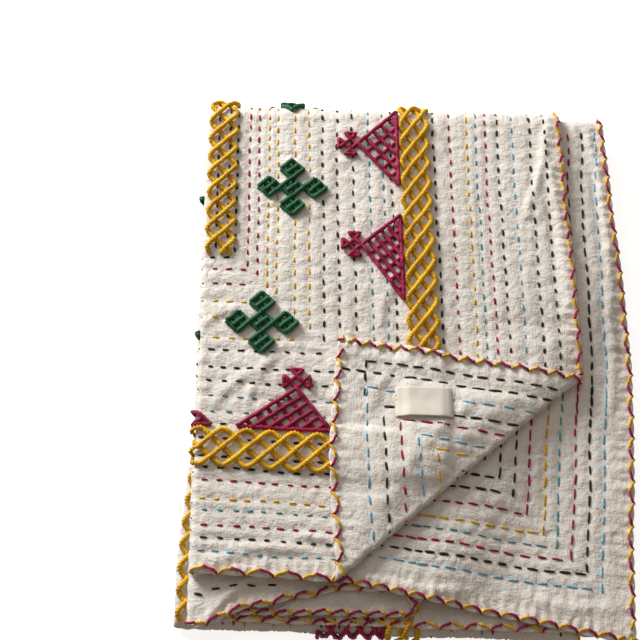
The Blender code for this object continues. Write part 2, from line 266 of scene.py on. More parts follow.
# Creases given one by one: start (u, v), end (u, v), half width, height
CREASES = (
    ((0.020, 0.170), (0.062, 0.205), 0.006, 0.0022),
    ((0.050, 0.168), (0.078, 0.222), 0.005, 0.0018),
    ((0.004, 0.250), (0.040, 0.268), 0.006, 0.0018),
    ((0.030, 0.015), (0.100, 0.026), 0.007, 0.0022),
    ((0.105, 0.040), (0.138, 0.028), 0.006, 0.0018),
    ((0.180, 0.262), (0.206, 0.330), 0.006, 0.0018),
    ((0.362, 0.490), (0.335, 0.395), 0.005, 0.0026),
    ((0.358, 0.460), (0.366, 0.300), 0.006, 0.0022),
    ((0.270, 0.250), (0.372, 0.262), 0.016, -0.0016),
    ((0.330, 0.120), (0.250, 0.060), 0.006, -0.0018),
    ((0.362, 0.060), (0.300, 0.030), 0.006, -0.0018),
    ((0.352, 0.012), (0.352, 0.190), 0.007, 0.0016),
    ((-0.400, 0.200), (-0.405, 0.330), 0.006, -0.0020),
    ((-0.412, 0.330), (-0.408, 0.480), 0.005, -0.0022),
    ((-0.330, 0.022), (-0.395, 0.026), 0.006, -0.0018),
    ((-0.160, 0.010), (-0.260, 0.014), 0.005, -0.0020),
    ((-0.240, LENGTH - 0.010), (-0.380, LENGTH - 0.012), 0.0035, -0.0022),
    ((-0.240, LENGTH - 0.022), (-0.380, LENGTH - 0.022), 0.0035, -0.0018),
    ((-0.020, LENGTH - 0.004), (-0.075, LENGTH - 0.030), 0.006, 0.0030),
)

# The turned corner's arch behind its fold, and how it rides over the couched bands
ARCH_RISE = 0.022
ARCH_END = 0.095
ARCH_FALL = 0.065
ARCH_FROM_EDGE = 0.050
OVER_BANDS = 0.0036
OVER_BANDS_RUN = 0.014

# Relief: where puckers fade beside a row, the tubes along a hem, and how creases fade and wave
ROW_FADE = 0.007
TUBE_PITCH = 0.0095
TUBE_FADE = 0.003
CREASE_PAST = 0.25  # how far a crease runs on past its ends, as a share of its length
CREASE_FADE = 0.4
CREASE_WAVE = 0.004
LABEL_FADE = 0.006  # width round the label over which the relief comes back

# How finely the cloth is netted
FINE = 0.0025
MIDDLE = 0.0045
COARSE = 0.022
RIM_STEP = 0.0026
RIM_BAND = 0.009
RIM_ROUND = (0.5, 1.0, 1.5)  # the rim's rounding, in right angles from the front
NET_MARGIN = 0.012  # how far the fine net goes on past what shows
BEND_MARGIN = 0.003
FOLD_HALF = 0.010  # half the width that is netted finely along the side fold
INNER_SHOWN = 0.040  # how much of the inner layer shows at the near end
UNDER_SHOWN = 0.078  # how much of the under half shows at the side

THREAD_WIDTHS = {"black": 1.12, "teal": 0.85, "sky": 0.95}  # as shares of the usual width
STITCH_RISE = 0.0005
# How uneven the hand sewing is: ranges of shares, then metres aside and radians
PITCH_RANGE = (0.93, 1.08)
FIRST_RANGE = (0.15, 0.5)
NEXT_RANGE = (0.9, 1.1)
LENGTH_RANGE = (0.78, 1.2)
ASIDE_WAVE = 0.0009
ASIDE = 0.0003
TURN = 0.10
SHORTEST_ROW = 0.004
PART_ROW_SIDE = 0.30  # an upright row with no near row, this far in, starts only at PART_ROW_FROM
PART_ROW_FROM = 0.29
# Where cords go out of sight: past the near crease and the far fold, and under the corner
CORDS_PAST_CREASE = 0.006
CORDS_FROM_SIDE = 0.015
CORDS_BELOW_FAR = 0.003
CORDS_BEFORE_CREASE = 0.009
CORDS_UNDER_FLAP = 0.006
CORD_STEP = 0.0011
THREAD_STEP = 0.0012
THREAD_CLEAR = 0.0031  # least height of a thread's middle above the floor

# A couched strand: how square its zigzag is, how steeply it crosses the others, and its heights
SQUARENESS = 0.955
CROSSING = 2.2
STRAND_LOW = 0.16
STRAND_OVER = 0.66
STRAND_END = 0.004
# A small figure on a triangle's apex
FINIAL_UP = 0.0072
FINIAL_TIP = 0.0062
FINIAL_BASE = 0.0125
FINIAL_HALF = 0.0058
FINIAL_LINE = (0.0030, 0.0022)  # the inner line of its top leaf: (in from the base, half length)
BAND_EDGE = 0.004  # from a band's outer cord line to the base of its triangles

# The whip threads: points for each half stitch, and how one rounds the rim
WHIP_STEPS = 6
WHIP_RISE = 0.50
WHIP_OVER = 0.15  # how much higher the crimson thread lies, which crosses over the yellow
WHIP_CLEAR = 0.0003
RIM_TURN = 0.0016
RIM_OUT = 0.0020
RIM_SINK = 0.0009

# The label's mesh, and the stitches along each of its ends
LABEL_CUTS = (22, 38)
LABEL_BOW = 0.0017
LABEL_RIPPLE = 0.0003
LABEL_STITCHES = 6
LABEL_STITCH = 0.0024
LABEL_STITCH_RISE = 0.0013
LABEL_STITCH_LINE = 0.485  # from the label's middle, as a share of its length

# The soft lights: (name, place, what it faces, size, power, colour)
LIGHTS = (
    ("window", (-1.45, 1.65, 0.92), (0, 0, 0), 0.9, 78.0, (1.0, 0.99, 0.97)),
    ("bounce", (-0.4, 1.4, 2.0), (0, 0.1, 0), 1.6, 9.0, (0.98, 0.98, 1.0)),
)


def linear(code):
    """A colour's linear values, from its sRGB hex code."""
    channels = (int(code[i:i + 2], 16) / 255 for i in (0, 2, 4))
    return tuple(c / 12.92 if c <= 0.04045 else ((c + 0.055) / 1.055) ** 2.4 for c in channels)


def ease(t):
    t = min(max(t, 0.0), 1.0)
    return t * t * (3 - 2 * t)


def along_table(table, at):
    """The value that a table of (place, value) pairs gives at one place."""
    if at <= table[0][0]:
        return table[0][1]
    for (a, low), (b, high) in zip(table, table[1:]):
        if at <= b:
            return low + (high - low) * ease((at - a) / (b - a))
    return table[-1][1]


def past_flap_line(u, v):
    """How far a place lies past the line about which the corner is turned back."""
    across = u - (TOP_HALF - FLAP_ACROSS)
    return (across * FLAP_ALONG - v * FLAP_ACROSS) / FLAP_SIZE


def flap_shift(beyond):
    """How far the turned corner is pulled out of its mirror image."""
    pull = beyond / FLAP_REACH
    return FLAP_PULL[0] * pull - FLAP_BOW * math.sin(math.pi * pull), FLAP_PULL[1] * pull


def turn_corner(u, v, h):
    out = past_flap_line(u, v)
    if out <= 0:
        return u, v, h
    radius = LAYER / 2
    angle = min(out / radius, math.pi)
    beyond = max(out - HALF_TURN, 0.0)
    reach = (radius - h) * math.sin(angle) - beyond
    shift_u, shift_v = flap_shift(beyond)
    u += (reach - out) * FLAP_ALONG / FLAP_SIZE + shift_u
    v += (out - reach) * FLAP_ACROSS / FLAP_SIZE + shift_v
    return u, v, radius - (radius - h) * math.cos(angle)


def under_flap(u, v, margin=0.0):
    """Whether the turned corner lies over a place on the top layer."""
    beyond = -past_flap_line(u, v)
    if u < 0 or beyond < 0 or v > V_FAR_1:
        return False
    for _ in range(3):
        shift_u, shift_v = flap_shift(beyond)
        beyond = -past_flap_line(u - shift_u, v - shift_v)
    moved = 2 * beyond + HALF_TURN
    flat_u = u - shift_u + moved * FLAP_ALONG / FLAP_SIZE
    flat_v = v - shift_v - moved * FLAP_ACROSS / FLAP_SIZE
    return flat_u < TOP_HALF - margin and flat_v > margin


def tuck_line(from_end):
    return TUCK_AT + TUCK_SLANT * from_end


def tuck_under(m, v, h):
    past = m - tuck_line(LENGTH - v)
    if v < V_INNER_2 or past <= 0:
        return m, h
    radius = LAYER / 2
    angle = min(past / radius, math.pi)
    beyond = max(past - math.pi * radius, 0.0)
    m += (radius + h) * math.sin(angle) - TUCK_EASE * beyond - past
    return m, (radius + h) * math.cos(angle) - radius


def layer_gap(v):
    return LAYER * (1 + ease((v - V_INNER_1) / (V_INNER_2 - V_INNER_1)))


def side_fold(u, v, h):
    gap = layer_gap(v)
    quarter = math.pi * gap / 4
    if u > quarter:
        return SIDE_FOLD_X + u - quarter, h, 0.0
    if u < -quarter:
        m, h = tuck_under(-u - quarter, v, h)
        return SIDE_FOLD_X + m, -gap - h, -u - quarter
    angle = u / quarter * math.pi / 2
    radius = gap / 2 + h
    return SIDE_FOLD_X - radius * math.cos(angle), radius * math.sin(angle) - gap / 2, 0.0


def long_folds(v, offset):
    floor = CLOTH / 2
    if v <= V_FAR_1:
        return NEAR_Y + v, floor + TOP_LEVEL * LAYER + offset
    if v <= V_FAR_2:
        radius = TOP_LEVEL * LAYER / 2
        angle = (v - V_FAR_1) / radius
        reach = radius + offset
        return FAR_Y + reach * math.sin(angle), floor + radius + reach * math.cos(angle)
    if v <= V_CREASE_1:
        return FAR_Y - (v - V_FAR_2), floor - offset
    if v <= V_CREASE_2:
        radius = LIFTED_LEVEL * LAYER / 2
        angle = (v - V_CREASE_1) / radius
        reach = radius + offset
        return CREASE_Y - reach * math.sin(angle), floor + radius - reach * math.cos(angle)
    if v <= V_INNER_1:
        return CREASE_Y + v - V_CREASE_2, floor + LIFTED_LEVEL * LAYER + offset
    if v <= V_INNER_2:
        radius = LAYER / 2
        angle = (v - V_INNER_1) / radius
        reach = radius - offset
        middle = floor + LIFTED_LEVEL * LAYER + radius
        return FAR_Y + reach * math.sin(angle), middle - reach * math.cos(angle)
    return FAR_Y - (v - V_INNER_2), floor + INNER_LEVEL * LAYER - offset


def slip(x, y, v, m):
    across = x - SIDE_FOLD_X
    shift_x = 0.0
    shift_y = STACK_SKEW * across
    if v < V_FAR_1:
        near = 1 - v / V_FAR_1
        halfway = math.sin(math.pi * ease(v / V_FAR_1))
        if m > 0:
            shift_y += UNDER_SKEW * max(m - UNDER_SKEW_FROM, 0.0) * near
            shift_x += UNDER_LEAN * max(-y, 0.0) * ease(m / UNDER_LEAN_RUN)
            shift_x += UNDER_BOW * halfway * ease(m / UNDER_BOW_RUN)
        else:
            shift_y += TOP_SKEW * across * near
            shift_x += TOP_BOW * halfway * ease(across / TOP_BOW_RUN)
    elif V_FAR_2 < v < V_INNER_1:
        shift_x += LOWER_SLIP * ease((LOWER_SLIP_FROM - y) / LOWER_SLIP_RUN)
    elif v > V_INNER_2 and m > 0:
        shift_y += along_table(TUCK_EDGE, m) * ease(1 - (LENGTH - v) / END_REACH)
    return x + shift_x, y + shift_y


def slump(x, y, z, v):
    line = SIDE_FOLD_X + tuck_line(y - INNER_END_Y)
    if v < V_FAR_1:
        z -= 2 * LAYER * ease((x - line) / SLUMP_RUN)
    swell = 1.0
    for share, wave_x, wave_y, phase in SWELLS:
        swell += share * math.sin(2 * math.pi * (x / wave_x + y / wave_y) + phase)
    return z * swell


def fold(u, v, h):
    """The folded throw's point for a point of the flat cloth.

    The two halves of the inner layer are slipped unequally, so round the side fold the slip of
    the under half is eased in.
    """
    if u > 0:
        u, v, h = turn_corner(u, v, h)
    x, offset, m = side_fold(u, v, h)
    y, z = long_folds(v, offset)
    x, y = slip(x, y, v, m)
    quarter = math.pi * layer_gap(v) / 4
    if v > V_INNER_2 and abs(u) <= quarter:
        y += TUCK_EDGE[0][1] * ease(1 - (LENGTH - v) / END_REACH) * ease(0.5 - 0.5 * u / quarter)
    z = slump(x, y, z, v)
    return Vector((x - CENTRE[0], y - CENTRE[1], z))


def wander(*at):
    """Smooth noise from -1 to 1 at up to three coordinates."""
    return noise.noise(Vector((*at, 0.5, 0.5)[:3]))


def stray(u, v):
    """How far the rows sewn near a place stray from the straight."""
    du = 0.0011 * wander(v / 0.045, u / 0.03, 31.0)
    dv = 0.0011 * wander(u / 0.045, v / 0.03, 37.0)
    if u > 0:
        return du + along_table(FRONT_STRAY, v) * ease((u - FRONT_STRAY_FROM) / 0.05), dv
    near_share = ease((0.24 - v) / 0.08)
    du += along_table(UNDER_STRAY_SIDE, v) * ease((-u - 0.2) / 0.05)
    return du, dv + along_table(UNDER_STRAY_NEAR, -u) * near_share


def sewn(u, v):
    """Where a place of the straight layout of rows comes to lie on the cloth."""
    du, dv = stray(u, v)
    return u + du, v + dv


def row_zones(u, v):
    """The rows round a place: (share, their places, the distance there, the way along them)."""
    du, dv = stray(u, v)
    u, v = u - du, v - dv
    if u < 0:
        side, kind = UNDER_HALF + u, "under"
    else:
        side = TOP_HALF - u
        kind = "flap" if past_flap_line(u, v) > 0 else "front"
    corner, slope = MITRES[kind]
    share = ease(0.5 + (corner + max(v, 0.0) / slope - side) / ZONE_BLEND)
    zones = []
    if share > 0:
        zones.append((share, ROW_PLACES[kind, 2], side, v))
    if share < 1:
        zones.append((1 - share, ROW_PLACES[kind, 1], v, u))
    return zones


def nearest_row(u, v):
    """How far the nearest sewn row is."""
    if V_FAR_2 < v < V_CREASE_1 or v > V_CREASE_2:
        return COARSE
    return sum(
        share * min(abs(place - at) for at in places) for share, places, place, _ in row_zones(u, v)
    )


def whip_runs(runs):
    """Whipping runs as (start, end, exact pitch, reach), so that a run holds whole stitches."""
    exact = []
    for start, end, pitch, reach in runs:
        exact.append((start, end, (end - start) / max(1, round((end - start) / pitch)), reach))
    return tuple(exact)


def free_edges(u, v):
    """For each free edge: how far in a place lies, how far along, the way in, the whipping."""
    return (
        (TOP_HALF - u, v, (-1, 0), WHIPS[0]),
        (UNDER_HALF + u, v, (1, 0), WHIPS[1]),
        (v, u, (0, 1), WHIPS[2]),
        (LENGTH - v, u, (0, -1), WHIPS[3]),
    )


WHIPS = tuple(whip_runs(runs) for runs in WHIPPED)
FLAP_SIZE = math.hypot(FLAP_ACROSS, FLAP_ALONG)
HALF_TURN = math.pi * LAYER / 2
FLAP_REACH = FLAP_ACROSS * FLAP_ALONG / FLAP_SIZE - HALF_TURN
ROW_PLACES = {
    (kind, field): tuple(row[field] for row in table if row[field] is not None)
    for kind, table in (("front", FRONT_ROWS), ("flap", FLAP_ROWS), ("under", UNDER_ROWS))
    for field in (1, 2)
}


def colour_setting(name, description, code):
    """A colour's setting, with its usual value as an sRGB hex code."""
    return FloatVectorProperty(
        name=name, description=description, default=linear(code), size=3, subtype="COLOR",
        min=0, max=1)


def length_setting(name, description, default, least=0.0):
    """A length's setting, in metres."""
    return FloatProperty(
        name=name, description=description, default=default, unit="LENGTH", min=least)


class ClothSettings(bpy.types.PropertyGroup):
    light_thread: colour_setting("Light thread", "Colour of the cloth where it is palest", "EFEBE5")
    dark_thread: colour_setting(
        "Dark thread", "Colour of the slubs and of the shaded tone", "DDD6CC")
    channel: length_setting("Channel depth", "How far a sewn row draws each face in", 0.0009)
    channel_half: length_setting(
        "Channel half width", "Half the width of the dip along a sewn row", 0.0052, 0.001)
    pucker: length_setting(
        "Pucker height", "Height of the puckers that run from row to row", 0.0010)
    pucker_pitch: length_setting(
        "Pucker pitch", "Spacing of the puckers along a row", 0.0085, 0.001)
    swell: length_setting("Swell height", "Height of the broad unevenness of each layer", 0.0013)
    crumple: length_setting(
        "Crumple height", "Height of the sharp little ridges of washed cotton", 0.0011)
    gather: length_setting("Gather height", "Height of the small tubes along the hems", 0.0022)
    hump: length_setting("Hump height", "How high the turned corner arches behind its fold", 0.0052)
    hem: length_setting("Hem width", "How far in the hem's gathers reach", 0.020, 0.001)
    scallop: length_setting("Scallop depth", "How far each whip stitch pulls the edge in", 0.0013)


class SewingSettings(bpy.types.PropertyGroup):
    crimson: colour_setting("Crimson floss", "Colour of the crimson thread", "981445")
    yellow: colour_setting("Yellow floss", "Colour of the yellow thread", "F0AC16")
    green: colour_setting("Green floss", "Colour of the dark green thread", "1B5E3E")
    black: colour_setting(
        "Black floss", "Colour of the black thread, which has an olive cast", "23231A")
    teal: colour_setting("Teal floss", "Colour of the teal thread", "4F97A6")
    sky: colour_setting("Sky blue floss", "Colour of the pale blue thread", "78B2CE")
    stitch_pitch: length_setting(
        "Stitch pitch", "From one running stitch to the next in a row", 0.0142, 0.004)
    front_stitch: length_setting(
        "Front stitch", "Length of a running stitch on the front", 0.0050, 0.001)
    back_stitch: length_setting(
        "Back stitch", "Length of the same row's stitches on the back", 0.0074, 0.001)
    thread: length_setting(
        "Thread width", "Width of a running stitch, which is flattened floss", 0.0022, 0.0005)
    seed: IntProperty(
        name="Seed", description="Fixes how uneven the hand stitches are", default=7)
    cord: length_setting("Band cord width", "Width of the couched yellow cords", 0.0048, 0.001)
    lattice: length_setting("Triangle thread width", "Width of the crimson cords", 0.0042, 0.001)
    petal: length_setting("Flower thread width", "Width of the green cords", 0.0050, 0.001)
    whip: length_setting(
        "Whip thread width", "Width of the thread that binds the hems", 0.0027, 0.0005)
    twist: FloatProperty(
        name="Twist", description="Turns of a cord's plies in a metre of it",
        default=120.0, min=0)


class LabelSettings(bpy.types.PropertyGroup):
    tape: colour_setting("Tape", "Colour of the blank woven label", "E6DFD2")
    length: length_setting("Length", "Length of the label", 0.0480, 0.01)
    width: length_setting("Width", "Width of the label", 0.0312, 0.01)
    thickness: length_setting("Thickness", "Thickness of the tape", 0.0007)
    from_side: length_setting("From the side", "From the side edge to the label's middle", 0.0560)
    from_near: length_setting(
        "From the near edge", "From the near edge to the label's middle", 0.078)
    turn: FloatProperty(
        name="Turn", description="Tilt of the label on the cloth", default=-0.13, unit="ROTATION")
    shear: FloatProperty(
        name="Shear", description="How far the label's ends lean, as a share of its width",
        default=0.14)


class StageSettings(bpy.types.PropertyGroup):
    elevation: FloatProperty(
        name="Camera elevation", description="Angle of the camera above the floor",
        default=math.radians(66.5), unit="ROTATION")
    distance: length_setting(
        "Camera distance", "From the camera to the top layer's middle", 1.333, 0.1)
    floor: colour_setting("Floor", "Colour of the floor", "FBFAF8")


def whip_run(runs, along):
    """The run of whipping at a place along an edge."""
    return next((run for run in runs if along < run[1]), runs[-1])


def draw_in(u, v, cloth):
    """Moves a place in from the free edge beside it, where the whip stitches pull the hem."""
    for inward, along, way, runs in free_edges(u, v):
        if inward < cloth.hem:
            start, _, pitch, _ = whip_run(runs, along)
            wave = 0.5 + 0.5 * math.cos(2 * math.pi * (along - start) / pitch)
            pull = cloth.scallop * (wave + 0.9 * wander(along / 0.045, way[0] + 2.0 * way[1]))
            pull *= 1 - ease(inward / cloth.hem)
            u += way[0] * pull
            v += way[1] * pull
    return u, v


def off_range(at, low, high):
    """How far a number lies outside a range."""
    return max(low - at, at - high, 0.0)


def flap_rise(u, v, cloth):
    """How far the turned corner stands off the layer below, as it arches and rides on bands."""
    beyond = past_flap_line(u, v)
    if u < 0 or beyond < HALF_TURN or v > V_FAR_1:
        return 0.0
    edge = min(TOP_HALF - u, v)
    rise = cloth.hump * ease((beyond - HALF_TURN) / ARCH_RISE)
    rise *= ease((ARCH_END - beyond) / ARCH_FALL) * ease(edge / ARCH_FROM_EDGE)
    over_u, over_v, _ = turn_corner(u, v, 0.0)
    off = off_range(over_u, *SIDE_BAND) if over_v > NEAR_BAND[0] else 1.0
    if over_u < SIDE_BAND[1]:
        off = min(off, off_range(over_v, *NEAR_BAND))
    return rise + OVER_BANDS * (1 - ease(off / OVER_BANDS_RUN))


def puckers(u, v, cloth):
    """Puckers that run from row to row, strongest between the rows."""
    pucker = 0.0
    for share, _, place, along in row_zones(u, v):
        ridge = wander(along / cloth.pucker_pitch, place / 0.022, 8.0)
        ridge += 0.6 * wander(along / (0.5 * cloth.pucker_pitch), place / 0.012, 5.0)
        pucker += share * ridge
    between = ease(nearest_row(u, v) / ROW_FADE)
    return cloth.pucker * (0.35 + 0.65 * between) * pucker


def crumples(u, v, cloth):
    """The sharp little ridges of washed cotton, in two sizes."""
    bent = 0.5 * wander(u / 0.03, v / 0.03, 17.0)
    large = 0.3 - abs(wander(u / 0.017 + bent, v / 0.013, 1.0))
    small = 0.3 - abs(wander(u / 0.008, v / 0.009 + bent, 23.0))
    return cloth.crumple * (large + 0.6 * small)


def gathers(u, v, cloth):
    """The small tubes that the whipping gathers along a hem."""
    height = 0.0
    reach = 1.2 * cloth.hem
    for inward, along, way, _ in free_edges(u, v):
        if inward < reach:
            drift = 0.35 * wander(along / 0.05, inward / 0.012, 3.0)
            tube = abs(math.sin(math.pi * (along / TUBE_PITCH + drift))) - 0.5
            tube += 0.7 * wander(along / 0.011, inward / 0.02, way[0] + 2.0 * way[1])
            height += cloth.gather * tube * ease(inward / TUBE_FADE) * (1 - ease(inward / reach))
    return height


def creases(u, v):
    """The listed creases: each is a ridge with a shallower dip beside it."""
    height = 0.0
    turned = u > 0 and past_flap_line(u, v) > 0
    for (u0, v0), (u1, v1), half, tall in CREASES:
        du, dv = u1 - u0, v1 - v0
        if abs(u - u0) + abs(v - v0) > 1.6 * (abs(du) + abs(dv)) or (u < 0) != (u0 < 0):
            continue
        if turned != (u0 > 0 and past_flap_line(u0, v0) > 0):
            continue
        share = ((u - u0) * du + (v - v0) * dv) / (du * du + dv * dv)
        off = ((u - u0) * dv - (v - v0) * du) / math.hypot(du, dv)
        off += CREASE_WAVE * math.sin(3.0 * share)
        fade = ease((share + CREASE_PAST) / CREASE_FADE)
        fade *= ease((1 + CREASE_PAST - share) / CREASE_FADE)
        ridge = math.exp(-(off / half) ** 2) - 0.5 * math.exp(-((off - half) / half) ** 2)
        height += tall * fade * ridge
    return height


def lift(u, v, cloth, fine=True):
    """How far the middle of the cloth lies off its smooth fold: swells, puckers and creases."""
    smooth = cloth.swell * wander(u / 0.055, v / 0.07, 3.1) - flap_rise(u, v, cloth)
    if not fine:
        return smooth
    height = puckers(u, v, cloth) + crumples(u, v, cloth) + gathers(u, v, cloth) + creases(u, v)
    return smooth + height * ease(off_label(u, v) / LABEL_FADE)


def half_thick(u, v, cloth):
    """Half the cloth's thickness, which a sewn row draws in."""
    return CLOTH / 2 - cloth.channel * (1 - ease(nearest_row(u, v) / cloth.channel_half))


def surface(u, v, side, rise=0.0):
    """A point on the cloth's front (side 1) or back (side -1), or this much above it."""
    cloth = bpy.context.scene.throw_cloth
    h = lift(u, v, cloth) + side * (half_thick(u, v, cloth) + rise)
    point = fold(*draw_in(u, v, cloth), h)
    point.z = max(point.z, THREAD_CLEAR)
    return point


def hidden(u, v):
    """Whether cords at a place on the front can't be seen, so that they aren't laid there."""
    if v > V_CREASE_2 + CORDS_PAST_CREASE:
        return u > CORDS_FROM_SIDE
    if V_FAR_2 - CORDS_BELOW_FAR < v < V_CREASE_1 + CORDS_BEFORE_CREASE:
        return True
    return under_flap(u, v, CORDS_UNDER_FLAP)


def add(tree, kind, inputs=None, **choices):
    """Adds a node, makes its choices, and sets or links its inputs."""
    node = tree.nodes.new(kind)
    for name, value in choices.items():
        setattr(node, name, value)
    for name, value in (inputs or {}).items():
        if isinstance(value, bpy.types.NodeSocket):
            tree.links.new(value, node.inputs[name])
        else:
            node.inputs[name].default_value = value
    return node


def blank_material(name):
    """A new material, as (material, its tree, its shader)."""
    made = bpy.data.materials.new(name)
    made.use_nodes = True
    tree = made.node_tree
    return made, tree, tree.nodes["Principled BSDF"]


def stretched_noise(tree, place, across, along, detail=2.0, rough=0.5):
    """Noise whose grains have these two sizes in metres, on a flat place."""
    scaled = add(tree, "ShaderNodeMapping", {"Vector": place, "Scale": (1 / across, 1 / along, 1)})
    return add(
        tree, "ShaderNodeTexNoise",
        {"Vector": scaled.outputs[0], "Scale": 1.0, "Detail": detail, "Roughness": rough},
    ).outputs["Fac"]


def sum_of(tree, parts):
    """The sum of (socket, weight) pairs."""
    total = 0.0
    for socket, weight in parts:
        total = add(
            tree, "ShaderNodeMath", {0: socket, 1: weight, 2: total}, operation="MULTIPLY_ADD"
        ).outputs[0]
    return total


def dress(tree, shader, tint, bump, settings):
    """Gives a shader its colour, as (share, low, high), its bump and its other settings."""
    share, low, high = tint
    mix = add(
        tree, "ShaderNodeMix", {"Factor": share, "A": (*low, 1), "B": (*high, 1)}, data_type="RGBA"
    )
    colour = next(s for s in mix.outputs if s.type == "RGBA")
    tree.links.new(colour, shader.inputs["Base Color"])
    height, strength, distance = bump
    relief = add(
        tree, "ShaderNodeBump", {"Strength": strength, "Distance": distance, "Height": height}
    )
    tree.links.new(relief.outputs[0], shader.inputs["Normal"])
    for name, value in settings.items():
        shader.inputs[name].default_value = value


def handloom_cotton(cloth):
    """Handloom cotton, washed after it was quilted: matte, slubby and finely crinkled.

    Its threads lie about 0.5 mm apart, which is too fine to show from here, so the slubs are
    drawn 1.1 mm wide, which is as fine as the picture shows.
    """
    made, tree, shader = blank_material("handloom_cotton")
    flat = add(tree, "ShaderNodeUVMap", uv_map="flat").outputs[0]
    warp = stretched_noise(tree, flat, 0.0011, 0.009)
    weft = stretched_noise(tree, flat, 0.008, 0.0011)
    crinkle = stretched_noise(tree, flat, 0.0050, 0.0036, 3.0, 0.55)
    crumple = stretched_noise(tree, flat, 0.0085, 0.0085, 4.0, 0.62)
    grain = stretched_noise(tree, flat, 0.0006, 0.0006, 1.0)
    tone = stretched_noise(tree, flat, 0.05, 0.06, 3.0)
    shade = sum_of(tree, ((tone, 0.45), (warp, 0.3), (weft, 0.3), (crumple, 0.15)))
    height = sum_of(
        tree, ((crinkle, 0.9), (crumple, 1.5), (warp, 0.28), (weft, 0.28), (grain, 0.1))
    )
    share = add(
        tree, "ShaderNodeMapRange", {"Value": shade, "From Min": 0.42, "From Max": 0.78}
    ).outputs[0]
    tint = (share, cloth.light_thread, cloth.dark_thread)
    dress(tree, shader, tint, (height, 0.95, 0.0013), {
        "Roughness": 0.92, "Sheen Weight": 0.12, "Sheen Roughness": 0.5,
        "Specular IOR Level": 0.25,
    })
    return made


def cotton_floss(name, colour):
    """Stranded cotton embroidery floss: a soft lustre, with each strand lighter or darker."""
    found = bpy.data.materials.get(name)
    if found:
        return found
    made, tree, shader = blank_material(name)
    place = add(tree, "ShaderNodeTexCoord").outputs["Object"]
    strands = add(
        tree, "ShaderNodeTexNoise",
        {"Vector": place, "Scale": 620.0, "Detail": 2.0, "Roughness": 0.6},
    ).outputs["Fac"]
    patches = add(
        tree, "ShaderNodeTexNoise", {"Vector": place, "Scale": 70.0, "Detail": 1.0}
    ).outputs["Fac"]
    mixed = sum_of(tree, ((strands, 0.6), (patches, 0.5)))
    dark = tuple(c * 0.55 for c in colour)
    light = tuple(min(1.0, c * 1.5 + 0.003) for c in colour)
    share = add(
        tree, "ShaderNodeMapRange", {"Value": mixed, "From Min": 0.35, "From Max": 0.75}
    ).outputs[0]
    dress(tree, shader, (share, dark, light), (strands, 0.8, 0.0006), {
        "Roughness": 0.62, "Sheen Weight": 0.04, "Specular IOR Level": 0.25,
    })
    return made


def floss(sewing, thread):
    """The material of one of the embroidery threads."""
    return cotton_floss(f"{thread}_cotton_floss", getattr(sewing, thread))


def woven_tape(label):
    """Damask-woven label tape: flat, closely ribbed across, with a slight satin lustre."""
    made, tree, shader = blank_material("woven_label_tape")
    flat = add(tree, "ShaderNodeUVMap", uv_map="flat").outputs[0]
    ribs = stretched_noise(tree, flat, 0.004, 0.0007)
    threads = stretched_noise(tree, flat, 0.0007, 0.005)
    shade = sum_of(tree, ((ribs, 0.5), (threads, 0.5)))
    dark = tuple(c * 0.86 for c in label.tape)
    dress(tree, shader, (shade, dark, label.tape), (shade, 0.4, 0.0003), {
        "Roughness": 0.7, "Sheen Weight": 0.2,
    })
    return made


def add_piece(name, mesh):
    """Makes a smooth-shaded object of a mesh and puts it in the scene."""
    piece = bpy.data.objects.new(name, mesh)
    bpy.context.scene.collection.objects.link(piece)
    mesh.shade_smooth()
    return piece


def finish_piece(piece, node=None):
    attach(piece, "root")
    if node:
        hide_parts(node)
    return piece


def spacing(u, v, side):
    """How far apart the net's points lie at a place on one face of the cloth."""
    past = past_flap_line(u, v)
    in_top = u > 0 and v < V_FAR_2
    if side > 0:
        seen = in_top and past < NET_MARGIN
        seen = seen or (v > LENGTH - INNER_SHOWN and u < NET_MARGIN)
        at_crease = V_CREASE_1 - NET_MARGIN < v < V_CREASE_2 + NET_MARGIN
        seen = seen or (u > -NET_MARGIN and at_crease)
    else:
        seen = in_top and past > -0.006
        uncovered = UNDER_HALF + u < UNDER_SHOWN or past_flap_line(-u, v) > -NET_MARGIN
        seen = seen or (u < 0 and v < V_FAR_1 and uncovered)
    past_tuck = -u - tuck_line(LENGTH - v) - 0.008
    near_tuck = u < 0 and v > V_INNER_2 and abs(past_tuck) < NET_MARGIN
    inner_bend, far_bend, crease_bend = (
        start - BEND_MARGIN < v < end + BEND_MARGIN
        for start, end in ((V_INNER_1, V_INNER_2), (V_FAR_1, V_FAR_2), (V_CREASE_1, V_CREASE_2))
    )
    if seen or near_tuck or inner_bend or abs(u) < FOLD_HALF:
        return FINE
    rim = min(TOP_HALF - u, UNDER_HALF + u, v, LENGTH - v)
    if rim < RIM_BAND or far_bend or crease_bend or (side > 0 and in_top and past < 0.020):
        return MIDDLE
    return COARSE


def rim_places():
    """Places all round the free edges, in order, with the way out at each."""
    corners = ((-UNDER_HALF, 0.0), (TOP_HALF, 0.0), (TOP_HALF, LENGTH), (-UNDER_HALF, LENGTH))
    ways = ((0, -1), (1, 0), (0, 1), (-1, 0))
    places = []
    for i, (start, way) in enumerate(zip(corners, ways)):
        end = corners[(i + 1) % 4]
        count = round(math.dist(start, end) / RIM_STEP)
        for j in range(count):
            share = j / count
            at = (start[0] + (end[0] - start[0]) * share, start[1] + (end[1] - start[1]) * share)
            before = ways[i - 1]
            out = way if j else ((way[0] + before[0]) * 0.7, (way[1] + before[1]) * 0.7)
            places.append((at, out))
    return places


